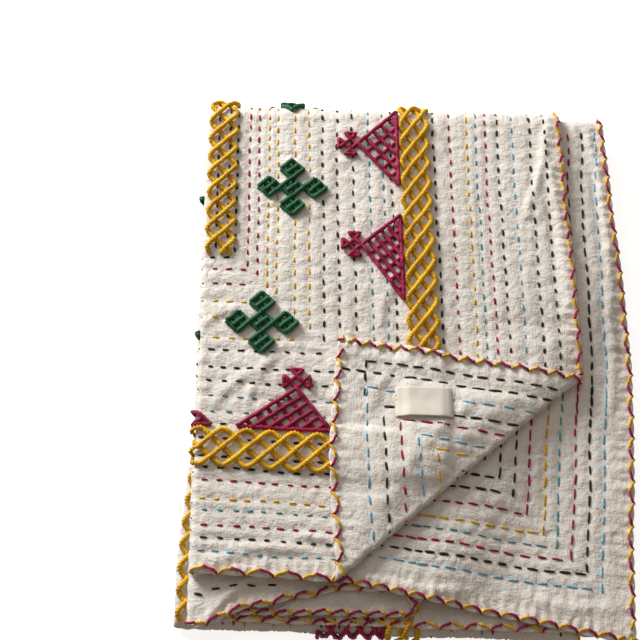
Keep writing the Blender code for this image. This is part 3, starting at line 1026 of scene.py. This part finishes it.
def net(side, rim):
    """The triangles of one face of the cloth, on a net as fine as each part needs."""
    places = [at for at, _ in rim]
    for step in (FINE, MIDDLE, COARSE):
        across = round(WIDTH / step)
        along = round(LENGTH / step)
        for i in range(1, across):
            u = -UNDER_HALF + WIDTH * i / across
            for j in range(1, along):
                v = LENGTH * j / along
                if spacing(u, v, side) == step:
                    places.append((u, v))
    found, _, faces, origins, _, _ = delaunay_2d_cdt([Vector(p) for p in places], [], [], 0, 1e-7)
    order = {first[0]: i for i, first in enumerate(origins)}
    return found, faces, [order[i] for i in range(len(rim))]


def on_floor(point):
    point.z = max(point.z, 0.0)
    return point


def cloth_mesh(cloth):
    """The whole cloth as one closed sheet: a front, a back and a rounded rim."""
    rim = rim_places()
    points, places, faces, rings = [], [], [], []
    for side in (1, -1):
        found, triangles, ring = net(side, rim)
        base = len(points)
        for u, v in found:
            fine = spacing(u, v, side) != COARSE
            h = lift(u, v, cloth, fine) + side * half_thick(u, v, cloth)
            points.append(on_floor(fold(*draw_in(u, v, cloth), h)))
            places.append((u, v))
        faces += [[base + i for i in (face if side > 0 else reversed(face))] for face in triangles]
        rings.append([base + i for i in ring])
    for turn in RIM_ROUND:
        ring = []
        for (u, v), out in rim:
            half = half_thick(u, v, cloth)
            pulled = draw_in(u, v, cloth)
            reach = half * math.sin(turn * math.pi / 2)
            h = lift(u, v, cloth) + half * math.cos(turn * math.pi / 2)
            ring.append(len(points))
            points.append(on_floor(fold(pulled[0] + out[0] * reach, pulled[1] + out[1] * reach, h)))
            places.append((u, v))
        rings.insert(-1, ring)
    for upper, lower in zip(rings, rings[1:]):
        for i in range(len(rim)):
            j = (i + 1) % len(rim)
            faces.append([upper[i], lower[i], lower[j], upper[j]])
    mesh = bpy.data.meshes.new("quilted_throw")
    mesh.from_pydata(points, [], faces)
    add_places(mesh, "flat", places)
    return mesh


def add_places(mesh, name, places):
    """Stores a flat place for each point of a mesh as a UV map."""
    layer = mesh.uv_layers.new(name=name)
    flat = [c for loop in mesh.loops for c in places[loop.vertex_index]]
    layer.uv.foreach_set("vector", flat)


def new_tree(name, inputs):
    """An empty Geometry Nodes tree with named inputs, as (tree, its inputs by name, its output)."""
    tree = bpy.data.node_groups.new(name, "GeometryNodeTree")
    tree.interface.new_socket("Geometry", in_out="INPUT", socket_type="NodeSocketGeometry")
    for label, kind, default in inputs:
        socket = tree.interface.new_socket(label, in_out="INPUT", socket_type=kind)
        if default is not None:
            socket.default_value = default
    tree.interface.new_socket("Geometry", in_out="OUTPUT", socket_type="NodeSocketGeometry")
    return tree, add(tree, "NodeGroupInput").outputs, add(tree, "NodeGroupOutput")


def close_tree(tree, given, output, shape):
    """Ends a tree: instances made real, smooth shading, and the material."""
    real = add(tree, "GeometryNodeRealizeInstances", {"Geometry": shape})
    smooth = add(tree, "GeometryNodeSetShadeSmooth", {"Geometry": real.outputs[0]})
    dressed = add(
        tree, "GeometryNodeSetMaterial",
        {"Geometry": smooth.outputs[0], "Material": given["Material"]},
    )
    tree.links.new(dressed.outputs[0], output.inputs[0])
    return tree


def running_stitch_tree():
    """A stitch on each point: a flattened, arched bit of floss whose ends dive into the cloth."""
    found = bpy.data.node_groups.get("running_stitch")
    if found:
        return found
    tree, given, output = new_tree("running_stitch", (
        ("Thread width", "NodeSocketFloat", 0.0022),
        ("Thread height", "NodeSocketFloat", 0.00165),
        ("Seed", "NodeSocketInt", 7),
        ("Material", "NodeSocketMaterial", None),
    ))
    line = add(tree, "GeometryNodeCurvePrimitiveLine", {"Start": (-0.5, 0, 0), "End": (0.5, 0, 0)})
    cut = add(tree, "GeometryNodeResampleCurve", {"Curve": line.outputs[0], "Count": 7})
    share = add(tree, "GeometryNodeSplineParameter").outputs["Factor"]
    centred = add(
        tree, "ShaderNodeMath", {0: share, 1: 2.0, 2: -1.0}, operation="MULTIPLY_ADD"
    ).outputs[0]
    squared = add(tree, "ShaderNodeMath", {0: centred, 1: centred}, operation="MULTIPLY").outputs[0]
    dive = add(tree, "ShaderNodeMath", {0: squared, 1: -0.35}, operation="MULTIPLY").outputs[0]
    offset = add(tree, "ShaderNodeCombineXYZ", {"Z": dive})
    arched = add(
        tree, "GeometryNodeSetPosition", {"Geometry": cut.outputs[0], "Offset": offset.outputs[0]}
    )
    fourth = add(tree, "ShaderNodeMath", {0: squared, 1: squared}, operation="MULTIPLY").outputs[0]
    left = add(tree, "ShaderNodeMath", {0: 1.08, 1: fourth}, operation="SUBTRACT").outputs[0]
    full = add(tree, "ShaderNodeMath", {0: left}, operation="SQRT").outputs[0]
    ring = add(tree, "GeometryNodeCurvePrimitiveCircle", {"Resolution": 6, "Radius": 0.5})
    bit = add(
        tree, "GeometryNodeCurveToMesh",
        {
            "Curve": arched.outputs[0], "Profile Curve": ring.outputs[0],
            "Scale": full, "Fill Caps": True,
        },
    )
    along, up = (
        add(tree, "GeometryNodeInputNamedAttribute", {"Name": name}, data_type="FLOAT_VECTOR")
        .outputs["Attribute"] for name in ("along", "up")
    )
    turned = add(
        tree, "FunctionNodeAxesToRotation",
        {"Primary Axis": along, "Secondary Axis": up},
        primary_axis="X", secondary_axis="Z",
    )
    length = add(tree, "ShaderNodeVectorMath", {0: along}, operation="LENGTH").outputs["Value"]
    vary = add(tree, "FunctionNodeRandomValue", data_type="FLOAT")
    uneven = [s for s in vary.inputs if s.type == "VALUE"]
    uneven[0].default_value = 0.8
    uneven[1].default_value = 1.2
    tree.links.new(given["Seed"], vary.inputs["Seed"])
    share_out = next(s for s in vary.outputs if s.type == "VALUE")
    wide = add(
        tree, "ShaderNodeMath", {0: given["Thread width"], 1: share_out}, operation="MULTIPLY"
    ).outputs[0]
    scale = add(
        tree, "ShaderNodeCombineXYZ", {"X": length, "Y": wide, "Z": given["Thread height"]}
    )
    placed = add(
        tree, "GeometryNodeInstanceOnPoints",
        {
            "Points": given["Geometry"], "Instance": bit.outputs[0],
            "Rotation": turned.outputs[0], "Scale": scale.outputs[0],
        },
    )
    return close_tree(tree, given, output, placed.outputs[0])


def laid_cord_tree():
    """A cord along each chain of edges: three plies twisted together."""
    found = bpy.data.node_groups.get("laid_cord")
    if found:
        return found
    tree, given, output = new_tree("laid_cord", (
        ("Cord width", "NodeSocketFloat", 0.0048),
        ("Turns a metre", "NodeSocketFloat", 120.0),
        ("Ply depth", "NodeSocketFloat", 0.26),
        ("Sides", "NodeSocketInt", 9),
        ("Material", "NodeSocketMaterial", None),
    ))
    path = add(tree, "GeometryNodeMeshToCurve", {"Mesh": given["Geometry"]})
    length = add(tree, "GeometryNodeSplineParameter").outputs["Length"]
    turns = add(
        tree, "ShaderNodeMath", {0: length, 1: given["Turns a metre"]}, operation="MULTIPLY"
    ).outputs[0]
    tilt = add(tree, "ShaderNodeMath", {0: turns, 1: 2 * math.pi}, operation="MULTIPLY").outputs[0]
    twisted = add(tree, "GeometryNodeSetCurveTilt", {"Curve": path.outputs[0], "Tilt": tilt})
    ring = add(
        tree, "GeometryNodeCurvePrimitiveCircle", {"Resolution": given["Sides"], "Radius": 0.5}
    )
    share = add(tree, "GeometryNodeSplineParameter").outputs["Factor"]
    angle = add(tree, "ShaderNodeMath", {0: share, 1: 6 * math.pi}, operation="MULTIPLY").outputs[0]
    wave = add(tree, "ShaderNodeMath", {0: angle}, operation="COSINE").outputs[0]
    ply = add(
        tree, "ShaderNodeMath", {0: wave, 1: given["Ply depth"], 2: 1.0}, operation="MULTIPLY_ADD"
    ).outputs[0]
    place = add(tree, "GeometryNodeInputPosition").outputs[0]
    pushed = add(tree, "ShaderNodeVectorMath", {0: place, "Scale": ply}, operation="SCALE")
    lobed = add(
        tree, "GeometryNodeSetPosition",
        {"Geometry": ring.outputs[0], "Position": pushed.outputs[0]},
    )
    body = add(
        tree, "GeometryNodeCurveToMesh",
        {
            "Curve": twisted.outputs[0], "Profile Curve": lobed.outputs[0],
            "Scale": given["Cord width"], "Fill Caps": True,
        },
    )
    return close_tree(tree, given, output, body.outputs[0])


def grown(name, mesh, tree, values):
    """Runs a Geometry Nodes tree on a mesh and gives the result as a plain object."""
    source = bpy.data.objects.new(name + "_path", mesh)
    bpy.context.scene.collection.objects.link(source)
    modifier = source.modifiers.new("grow", "NODES")
    modifier.node_group = tree
    for item in tree.interface.items_tree:
        if item.in_out == "INPUT" and item.name in values:
            modifier[item.identifier] = values[item.name]
    graph = bpy.context.evaluated_depsgraph_get()
    result = bpy.data.meshes.new_from_object(source.evaluated_get(graph), depsgraph=graph)
    result.name = name
    bpy.data.objects.remove(source, do_unlink=True)
    piece = bpy.data.objects.new(name, result)
    bpy.context.scene.collection.objects.link(piece)
    return finish_piece(piece)


def stitches(name, marks, sewing, material, width=1.0):
    """Running stitches as one piece, from (start, end, up) marks."""
    mesh = bpy.data.meshes.new(name)
    mesh.from_pydata([(start + end) / 2 for start, end, _ in marks], [], [])
    for label, index in (("along", 0), ("up", 1)):
        layer = mesh.attributes.new(label, "FLOAT_VECTOR", "POINT")
        values = [(end - start, up)[index] for start, end, up in marks]
        layer.data.foreach_set("vector", [c for value in values for c in value])
    return grown(name, mesh, running_stitch_tree(), {
        "Thread width": sewing.thread * width,
        "Thread height": sewing.thread * 0.75 * width,
        "Seed": sewing.seed,
        "Material": material,
    })


def cords(name, chains, width, sewing, thread, depth=0.26, sides=9, twist=1.0):
    """Cords of one colour of thread as one piece, from chains of points."""
    points, edges = [], []
    for chain in chains:
        base = len(points)
        points += chain
        edges += [(base + i, base + i + 1) for i in range(len(chain) - 1)]
    mesh = bpy.data.meshes.new(name)
    mesh.from_pydata(points, edges, [])
    return grown(name, mesh, laid_cord_tree(), {
        "Cord width": width,
        "Turns a metre": sewing.twist * twist,
        "Ply depth": depth,
        "Sides": sides,
        "Material": floss(sewing, thread),
    })


def mark(u, v, way, length, side, rise):
    """One stitch as (start, end, up), from its middle and its way on the flat cloth."""
    du, dv = way[0] * length / 2, way[1] * length / 2
    start = surface(u - du, v - dv, side, rise)
    end = surface(u + du, v + dv, side, rise)
    up = surface(u, v, side, rise + 0.001) - surface(u, v, side, rise)
    return start, end, up.normalized()


def row_marks(start, end, side, sewing, dice):
    """The stitches of one row, as uneven as hand sewing."""
    length = math.dist(start, end)
    if length < SHORTEST_ROW:
        return []
    way = ((end[0] - start[0]) / length, (end[1] - start[1]) / length)
    usual = sewing.front_stitch if side > 0 else sewing.back_stitch
    pitch = sewing.stitch_pitch * dice.uniform(*PITCH_RANGE)
    offset = dice.uniform(0, 50)
    at = pitch * dice.uniform(*FIRST_RANGE)
    marks = []
    while at < length - usual / 2:
        aside = ASIDE_WAVE * wander(at / 0.05, offset) + dice.uniform(-ASIDE, ASIDE)
        turn = dice.uniform(-TURN, TURN)
        spot = (start[0] + way[0] * at - way[1] * aside, start[1] + way[1] * at + way[0] * aside)
        leaning = (way[0] - way[1] * turn, way[1] + way[0] * turn)
        size = usual * dice.uniform(*LENGTH_RANGE)
        spot = sewn(*spot)
        if side < 0 or not under_flap(*spot, 0.003):
            marks.append(mark(*spot, leaning, size, side, STITCH_RISE))
        at += pitch * dice.uniform(*NEXT_RANGE)
    return marks


def flap_reach_along(side):
    """Where the flap's line crosses a row that lies this far from the side edge, in v."""
    return (FLAP_ACROSS - side) * FLAP_ALONG / FLAP_ACROSS


def flap_reach_across(near):
    """Where the flap's line crosses a row that lies this far from the near edge, in u."""
    return TOP_HALF - FLAP_ACROSS + near * FLAP_ACROSS / FLAP_ALONG


def front_marks(sewing, dice):
    """Stitches on the front by thread: the top layer, the far fold and the near crease."""
    found = {}
    corner, slope = MITRES["front"]
    for thread, near, side in FRONT_ROWS:
        if thread is None:
            continue
        u = TOP_HALF - side
        low = max((side - corner) * slope, 0.0)
        if near is None:
            low = PART_ROW_FROM if side > PART_ROW_SIDE else 0.0
        low = max(low, flap_reach_along(side) + 0.004)
        marks = found.setdefault(thread, [])
        marks += row_marks((u, low), (u, TOP_LAYER_END), 1, sewing, dice)
        marks += row_marks((u, V_CREASE_1 + 0.004), (u, V_CREASE_2 + 0.010), 1, sewing, dice)
        if near is not None:
            far = min(u, flap_reach_across(near) - 0.006)
            marks += row_marks((-0.006, near), (far, near), 1, sewing, dice)
    for u, from_end in INNER_STITCHES:
        found["black"].append(mark(u, LENGTH - from_end, (1, -0.3), 0.0064, 1, STITCH_RISE))
    return found


def flap_marks(sewing, dice):
    """Stitches on the back of the corner that is turned back."""
    found = {}
    for thread, near, side in FLAP_ROWS:
        u = TOP_HALF - side
        marks = found.setdefault(thread, [])
        low = 0.006 if near is None else near
        high = flap_reach_along(side) - 0.001
        marks += row_marks((u, low), (u, high), -1, sewing, dice)
        if near is not None:
            start = flap_reach_across(near) + 0.001
            if near == FLAP_ROWS[0][1]:
                start = max(start, FLAP_BLACK_FROM)
            marks += row_marks((start, near), (u, near), -1, sewing, dice)
    return found


def under_marks(sewing, dice):
    """Stitches on the back of the under half, where it shows at the side and below the flap."""
    found = {}
    for thread, near, side in UNDER_ROWS:
        u = -UNDER_HALF + side
        marks = found.setdefault(thread, [])
        marks += row_marks((u, near), (u, V_FAR_1 - 0.004), -1, sewing, dice)
        left = -(flap_reach_across(near) - 0.030)
        marks += row_marks((left, near), (u, near), -1, sewing, dice)
    return found


def band_marks(sewing, dice):
    """Black stitches among the cords of the couched bands."""
    marks = []
    for across, start, end, turned, pitch in BAND_STITCHES:
        for i in range(round((end - start) / pitch)):
            at = start + (i + 0.5) * pitch + dice.uniform(-0.0012, 0.0012)
            spot = (at, across) if turned else (across, at)
            if hidden(*spot):
                continue
            lean = dice.uniform(-0.2, 0.2)
            way = (1, lean) if turned else (lean, 1)
            marks.append(mark(*spot, way, sewing.front_stitch, 1, 0.0004))
    return marks


def lay(path, side, step, rise):
    """Chains of points along straight runs of (u, v, extra height), where they can be seen."""
    chains, chain = [], []
    for (u0, v0, r0), (u1, v1, r1) in zip(path, path[1:]):
        count = max(1, round(math.dist((u0, v0), (u1, v1)) / step))
        for i in range(count + (path[-1] == (u1, v1, r1))):
            t = i / count
            u, v = u0 + (u1 - u0) * t, v0 + (v1 - v0) * t
            if hidden(u, v):
                chains.append(chain)
                chain = []
            else:
                chain.append(surface(u, v, side, rise + r0 + (r1 - r0) * t))
    return [c for c in (*chains, chain) if len(c) > 2]


def band_strand(band, order, width):
    """One strand of a couched band: a rounded zigzag that crosses it and comes back."""
    low, high, start, end, turned, strands, pitch, phase = band
    middle, half = (low + high) / 2, (high - low) / 2
    path = []
    count = round((end - start) / CORD_STEP)
    soft = math.asin(SQUARENESS)
    for i in range(count + 1):
        at = start + (end - start) * i / count
        angle = 2 * math.pi * ((at - start) / (strands * pitch) + order / strands + phase)
        across = middle + half * math.asin(SQUARENESS * math.sin(angle)) / soft
        across += 0.0007 * wander(at / 0.02, order * 3.7)
        over = 0.5 + 0.5 * math.tanh(CROSSING * math.cos(angle)) / math.tanh(CROSSING)
        rise = width * (STRAND_LOW + STRAND_OVER * over)
        rise *= ease(min(at - start, end - at) / STRAND_END + 0.2)
        path.append((at, across, rise) if turned else (across, at, rise))
    return lay(path, 1, CORD_STEP * 2, 0.0)


def band_chains(sewing):
    """Every strand of the couched bands that can be seen."""
    return [
        chain for band in BANDS for order in range(band[5])
        for chain in band_strand(band, order, sewing.cord)
    ]


def triangle_paths(base, height, lean, lines):
    """A triangle's cords in its own plane: (along the base, up from it, extra height) runs."""
    left, right, top = (-base, 0.0), (base, 0.0), (lean, height)

    def between(a, b, share):
        return (a[0] + (b[0] - a[0]) * share, a[1] + (b[1] - a[1]) * share)

    paths = []
    for i in range(1, lines):
        share = i / lines
        foot = between(left, right, share)
        paths.append(((*foot, 0.0), (*between(left, top, share), 0.0)))
        paths.append(((*foot, 0.35), (*between(right, top, 1 - share), 0.35)))
    paths.append(((*left, 0.5), (*top, 0.6), (*right, 0.5)))
    paths.append(((*left, 0.3), (*right, 0.3)))
    return paths


def finial_paths(height, lean):
    """The small figure on a triangle's apex: a diamond with three triangles round it."""
    middle = height + FINIAL_UP
    tip, base, half = FINIAL_TIP, FINIAL_BASE, FINIAL_HALF
    corners = ((0, -tip), (tip, 0), (0, tip), (-tip, 0), (0, -tip))
    paths = [tuple((lean + a, middle + b, 0.3) for a, b in corners)]
    outline = ((tip, 0), (base, -half), (base, half), (tip, 0))
    inset, reach = FINIAL_LINE
    filling = ((base - inset, -reach), (base - inset, reach))
    for across, up in ((0, 1), (-1, 0), (1, 0)):
        for places in (outline, filling) if across < 0 else (outline,):
            paths.append(tuple(
                (lean + across * out - up * aside, middle + up * out + across * aside, 0.4)
                for out, aside in places
            ))
    return paths


def triangle_chains(sewing):
    """The crimson triangles and their finials, laid on the bands' inner edges."""
    wide = sewing.lattice
    chains = []
    tables = ((SIDE_TRIANGLES, False, SIDE_BAND[0]), (NEAR_TRIANGLES, True, NEAR_BAND[1]))
    for table, turned, edge in (*tables, ((CREASE_TRIANGLE,), False, BANDS[1][0])):
        for middle, base, height, lean, lines in table:
            for path in triangle_paths(base, height, lean, lines) + finial_paths(height, lean):
                run = []
                for along, up, extra in path:
                    if turned:
                        spot = (middle + along, edge + BAND_EDGE + up)
                    else:
                        spot = (edge - BAND_EDGE - up, middle + along)
                    run.append((*spot, extra * wide))
                chains += lay(run, 1, THREAD_STEP, wide * 0.3)
    return chains


def flower_chains(sewing):
    """The green flowers: five diamonds, each of three threads one way and three the other."""
    chains = []
    wide = sewing.petal
    half_u, half_v = PETAL_HALF
    for u, v in FLOWERS:
        for ox, oy in ((0, 0), (1, 0), (-1, 0), (0, 1), (0, -1)):
            cu, cv = u + ox * PETAL_STEP[0], v + oy * PETAL_STEP[1]
            for slope in (-1, 1):
                for shift in (-1, 0, 1):
                    mu = cu + shift * half_u / 2
                    mv = cv - shift * slope * half_v / 2
                    extra = wide * (0.35 if slope > 0 else 0.0)
                    start = (mu - half_u / 2, mv - slope * half_v / 2, extra)
                    end = (mu + half_u / 2, mv + slope * half_v / 2, extra)
                    chains += lay((start, end), 1, THREAD_STEP, wide * 0.3)
    return chains


def whip_chain(corner, way, inward, runs, sewing, direction):
    """A thread whipped over one free edge: down across the front, round the rim, and back."""
    wide = sewing.whip
    stops = []
    for start, end, pitch, reach in runs:
        for k in range(round((end - start) / pitch)):
            stops.append((start + (k + 0.5) * pitch, pitch, reach))
    chain = []
    for tip, pitch, reach in stops[::direction]:
        for side, share0 in ((1, 0.0), (-1, 0.5)):
            for i in range(WHIP_STEPS):
                t = i / WHIP_STEPS
                inset = reach * (1 - t if side > 0 else t)
                at = tip + direction * (share0 + t / 2) * pitch
                at = min(max(at, runs[0][0] + wide), runs[-1][1] - wide)
                rim = ease(1 - inset / RIM_TURN)
                out = inset - rim * RIM_OUT
                u = corner[0] + way[0] * at + inward[0] * out
                v = corner[1] + way[1] * at + inward[1] * out
                rise = wide * (WHIP_RISE + WHIP_OVER * (direction > 0)) + WHIP_CLEAR
                chain.append(surface(u, v, side, rise * (1 - rim) - RIM_SINK * rim))
    return chain


def whip_chains(sewing, direction):
    """Whipping over all four free edges of the cloth."""
    edges = (
        ((TOP_HALF, 0.0), (0, 1), (-1, 0)),
        ((-UNDER_HALF, 0.0), (0, 1), (1, 0)),
        ((0.0, 0.0), (1, 0), (0, 1)),
        ((0.0, LENGTH), (1, 0), (0, -1)),
    )
    return [whip_chain(*edge, runs, sewing, direction) for edge, runs in zip(edges, WHIPS)]


def label_place(a, b, label):
    """The flat cloth's place under a place on the label."""
    u = TOP_HALF - label.from_side + a * math.cos(label.turn) - b * math.sin(label.turn)
    v = label.from_near + a * (math.sin(label.turn) + label.shear) + b * math.cos(label.turn)
    return u, v


def off_label(u, v):
    """How far outside the label a place on the flat cloth lies."""
    label = bpy.context.scene.throw_label
    across, along = u - TOP_HALF + label.from_side, v - label.from_near
    a = across * math.cos(label.turn) + along * math.sin(label.turn)
    b = along * math.cos(label.turn) - across * math.sin(label.turn) - a * label.shear
    return max(abs(a) - label.width / 2, abs(b) - label.length / 2, 0.0)


def label_mesh(label, cloth):
    """The blank label: tape with folded ends, bowed up a little along its free edge."""
    across, along = LABEL_CUTS
    points, places, faces = [], [], []
    for side in (1, -1):
        base = len(points)
        for i in range(across + 1):
            for j in range(along + 1):
                s, t = i / across * 2 - 1, j / along * 2 - 1
                a, b = s * label.width / 2, t * label.length / 2
                u, v = label_place(a, b, label)
                bow = LABEL_BOW * ease((-s + 0.2) / 1.2) * (1 - t ** 4)
                ripple = LABEL_RIPPLE * wander(a / 0.011, b / 0.009, 2.0) * (1 - t ** 4)
                seat = 0.0010 - 0.0006 * ease((abs(t) - 0.86) / 0.1)
                folded = 0.5 + 0.5 * ease((abs(t) - 0.80) / 0.03)
                thin = 1 - 0.6 * ease((max(abs(s), abs(t)) - 0.96) / 0.04)
                thick = label.thickness * folded * thin
                h = lift(u, v, cloth, False) - CLOTH / 2 - seat - bow - ripple
                points.append(fold(u, v, h - thick * (side > 0)))
                places.append((a, b))
        for i in range(across):
            for j in range(along):
                corner = base + i * (along + 1) + j
                face = [corner, corner + 1, corner + along + 2, corner + along + 1]
                faces.append(face if side > 0 else face[::-1])
    back = (across + 1) * (along + 1)
    ring = list(range(along))
    ring += [i * (along + 1) + along for i in range(across)]
    ring += [across * (along + 1) + j for j in range(along, 0, -1)]
    ring += [i * (along + 1) for i in range(across, 0, -1)]
    for here, there in zip(ring, ring[1:] + ring[:1]):
        faces.append([here, here + back, there + back, there])
    mesh = bpy.data.meshes.new("blank_woven_label")
    mesh.from_pydata(points, [], faces)
    add_places(mesh, "flat", places)
    return mesh


class THROW_OT_label(bpy.types.Operator):
    """Makes the blank woven label and the stitches that hold its two ends"""

    bl_idname = "throw.label"
    bl_label = "Blank label"

    def execute(self, context):
        label = context.scene.throw_label
        cloth = context.scene.throw_cloth
        sewing = context.scene.throw_sewing
        piece = add_piece("label", label_mesh(label, cloth))
        piece.data.materials.append(woven_tape(label))
        finish_piece(piece, "blank_label")
        marks = []
        for end in (-1, 1):
            for i in range(LABEL_STITCHES):
                a = label.width * (i - (LABEL_STITCHES - 1) / 2) / (LABEL_STITCHES + 0.6)
                b = end * label.length * LABEL_STITCH_LINE
                spot = label_place(a, b, label)
                marks.append(mark(*spot, (0.35, 1), LABEL_STITCH, -1, LABEL_STITCH_RISE))
        thread = cotton_floss("ecru_sewing_thread", label.tape)
        stitches("label_stitches", marks, sewing, thread, 0.28)
        return {"FINISHED"}


class THROW_OT_running_stitches(bpy.types.Operator):
    """Sews the rows of running stitches, one piece for each colour of thread"""

    bl_idname = "throw.running_stitches"
    bl_label = "Running stitches"

    def execute(self, context):
        sewing = context.scene.throw_sewing
        dice = random.Random(sewing.seed)
        found = {}
        for group in (front_marks, flap_marks, under_marks):
            for thread, marks in group(sewing, dice).items():
                found.setdefault(thread, []).extend(marks)
        found["black"] += band_marks(sewing, dice)
        for thread, marks in found.items():
            stitches(
                f"running_stitches_{thread}", marks, sewing, floss(sewing, thread),
                THREAD_WIDTHS.get(thread, 1.0),
            )
        return {"FINISHED"}


class THROW_OT_whipped_hems(bpy.types.Operator):
    """Binds the free edges with two threads that cross in a zigzag"""

    bl_idname = "throw.whipped_hems"
    bl_label = "Whipped hems"

    def execute(self, context):
        sewing = context.scene.throw_sewing
        for thread, direction in (("crimson", 1), ("yellow", -1)):
            cords(
                f"hem_whipping_{thread}", whip_chains(sewing, direction), sewing.whip, sewing,
                thread, depth=0.0, sides=5, twist=0.0,
            )
        return {"FINISHED"}


class THROW_OT_couched_bands(bpy.types.Operator):
    """Lays the yellow cords of the couched bands"""

    bl_idname = "throw.couched_bands"
    bl_label = "Couched bands"

    def execute(self, context):
        sewing = context.scene.throw_sewing
        cords("couched_bands", band_chains(sewing), sewing.cord, sewing, "yellow")
        return {"FINISHED"}


class THROW_OT_motifs(bpy.types.Operator):
    """Lays the crimson triangles and the green flowers"""

    bl_idname = "throw.motifs"
    bl_label = "Triangles and flowers"

    def execute(self, context):
        sewing = context.scene.throw_sewing
        for name, chains, width, thread in (
            ("lattice_triangles", triangle_chains(sewing), sewing.lattice, "crimson"),
            ("flowers", flower_chains(sewing), sewing.petal, "green"),
        ):
            cords(name, chains, width, sewing, thread, sides=6, depth=0.14)
        return {"FINISHED"}


class THROW_OT_cloth(bpy.types.Operator):
    bl_idname = "throw.cloth"
    bl_label = "Quilted cloth"

    def execute(self, context):
        cloth = context.scene.throw_cloth
        piece = add_piece("quilted_throw", cloth_mesh(cloth))
        piece.data.materials.append(handloom_cotton(cloth))
        finish_piece(piece, "throw_cloth")
        return {"FINISHED"}


def area_light(name, place, aim, size, power, colour):
    """A square soft light that faces a place."""
    lamp = bpy.data.lights.new(name, "AREA")
    lamp.shape = "SQUARE"
    lamp.size = size
    lamp.energy = power
    lamp.color = colour
    light = bpy.data.objects.new(name, lamp)
    light.location = place
    light.rotation_euler = (Vector(aim) - Vector(place)).to_track_quat("-Z", "Y").to_euler()
    bpy.context.scene.collection.objects.link(light)


class THROW_OT_stage(bpy.types.Operator):
    """Sets the pale floor, the soft light and the camera"""

    bl_idname = "throw.stage"
    bl_label = "Stage"

    def execute(self, context):
        stage = context.scene.throw_stage
        scene = context.scene
        bpy.ops.mesh.primitive_plane_add(size=12.0)
        floor = context.active_object
        floor.name = "pale_floor"
        # Matte paper: it has no gloss, and it glows a little, so that it shows as plain white
        made, _, shader = blank_material("pale_matte_paper")
        for name, value in (
            ("Base Color", (*stage.floor, 1)), ("Roughness", 0.9),
            ("Emission Color", (1, 1, 1, 1)), ("Emission Strength", 0.75),
        ):
            shader.inputs[name].default_value = value
        floor.data.materials.append(made)
        floor.visible_diffuse = False
        world = bpy.data.worlds.new("soft_room")
        world.use_nodes = True
        background = world.node_tree.nodes["Background"]
        background.inputs["Color"].default_value = (1.0, 0.86, 0.74, 1)
        background.inputs["Strength"].default_value = 0.22
        scene.world = world
        for light in LIGHTS:
            area_light(*light)
        camera = bpy.data.cameras.new("camera")
        camera.lens = 50.0
        camera.sensor_width = 24.0
        view = bpy.data.objects.new("camera", camera)
        target = Vector((-CENTRE[0], -CENTRE[1], 0.045))
        back = Vector((0, -math.cos(stage.elevation), math.sin(stage.elevation)))
        view.location = target + back * stage.distance
        view.rotation_euler = (math.pi / 2 - stage.elevation, 0, 0)
        scene.collection.objects.link(view)
        scene.camera = view
        scene.view_settings.view_transform = "Standard"
        return {"FINISHED"}


PIECES = (
    THROW_OT_label,
    THROW_OT_running_stitches,
    THROW_OT_whipped_hems,
    THROW_OT_couched_bands,
    THROW_OT_motifs,
    THROW_OT_cloth,
    THROW_OT_stage,
)


class THROW_PT_panel(bpy.types.Panel):
    bl_label = "Folded throw"
    bl_idname = "THROW_PT_panel"
    bl_space_type = "VIEW_3D"
    bl_region_type = "UI"
    bl_category = "Throw"

    def draw(self, context):
        for name in GROUPS:
            box = self.layout.box()
            box.label(text=name.replace("_", " "))
            group = getattr(context.scene, name)
            for field in group.bl_rna.properties.keys():
                if field not in ("rna_type", "name"):
                    box.prop(group, field)
        for piece in PIECES:
            self.layout.operator(piece.bl_idname)


GROUPS = {
    "throw_cloth": ClothSettings,
    "throw_sewing": SewingSettings,
    "throw_label": LabelSettings,
    "throw_stage": StageSettings,
}


def register():
    for name, group in GROUPS.items():
        bpy.utils.register_class(group)
        setattr(bpy.types.Scene, name, PointerProperty(type=group))
    for piece in (*PIECES, THROW_PT_panel):
        bpy.utils.register_class(piece)


def unregister():
    for piece in (THROW_PT_panel, *reversed(PIECES)):
        bpy.utils.unregister_class(piece)
    for name, group in GROUPS.items():
        delattr(bpy.types.Scene, name)
        bpy.utils.unregister_class(group)


def main():
    register()
    bpy.ops.throw.label()
    bpy.ops.throw.running_stitches()
    bpy.ops.throw.whipped_hems()
    bpy.ops.throw.couched_bands()
    bpy.ops.throw.motifs()
    bpy.ops.throw.cloth()
    bpy.ops.throw.stage()


if __name__ == "__main__":
    main()
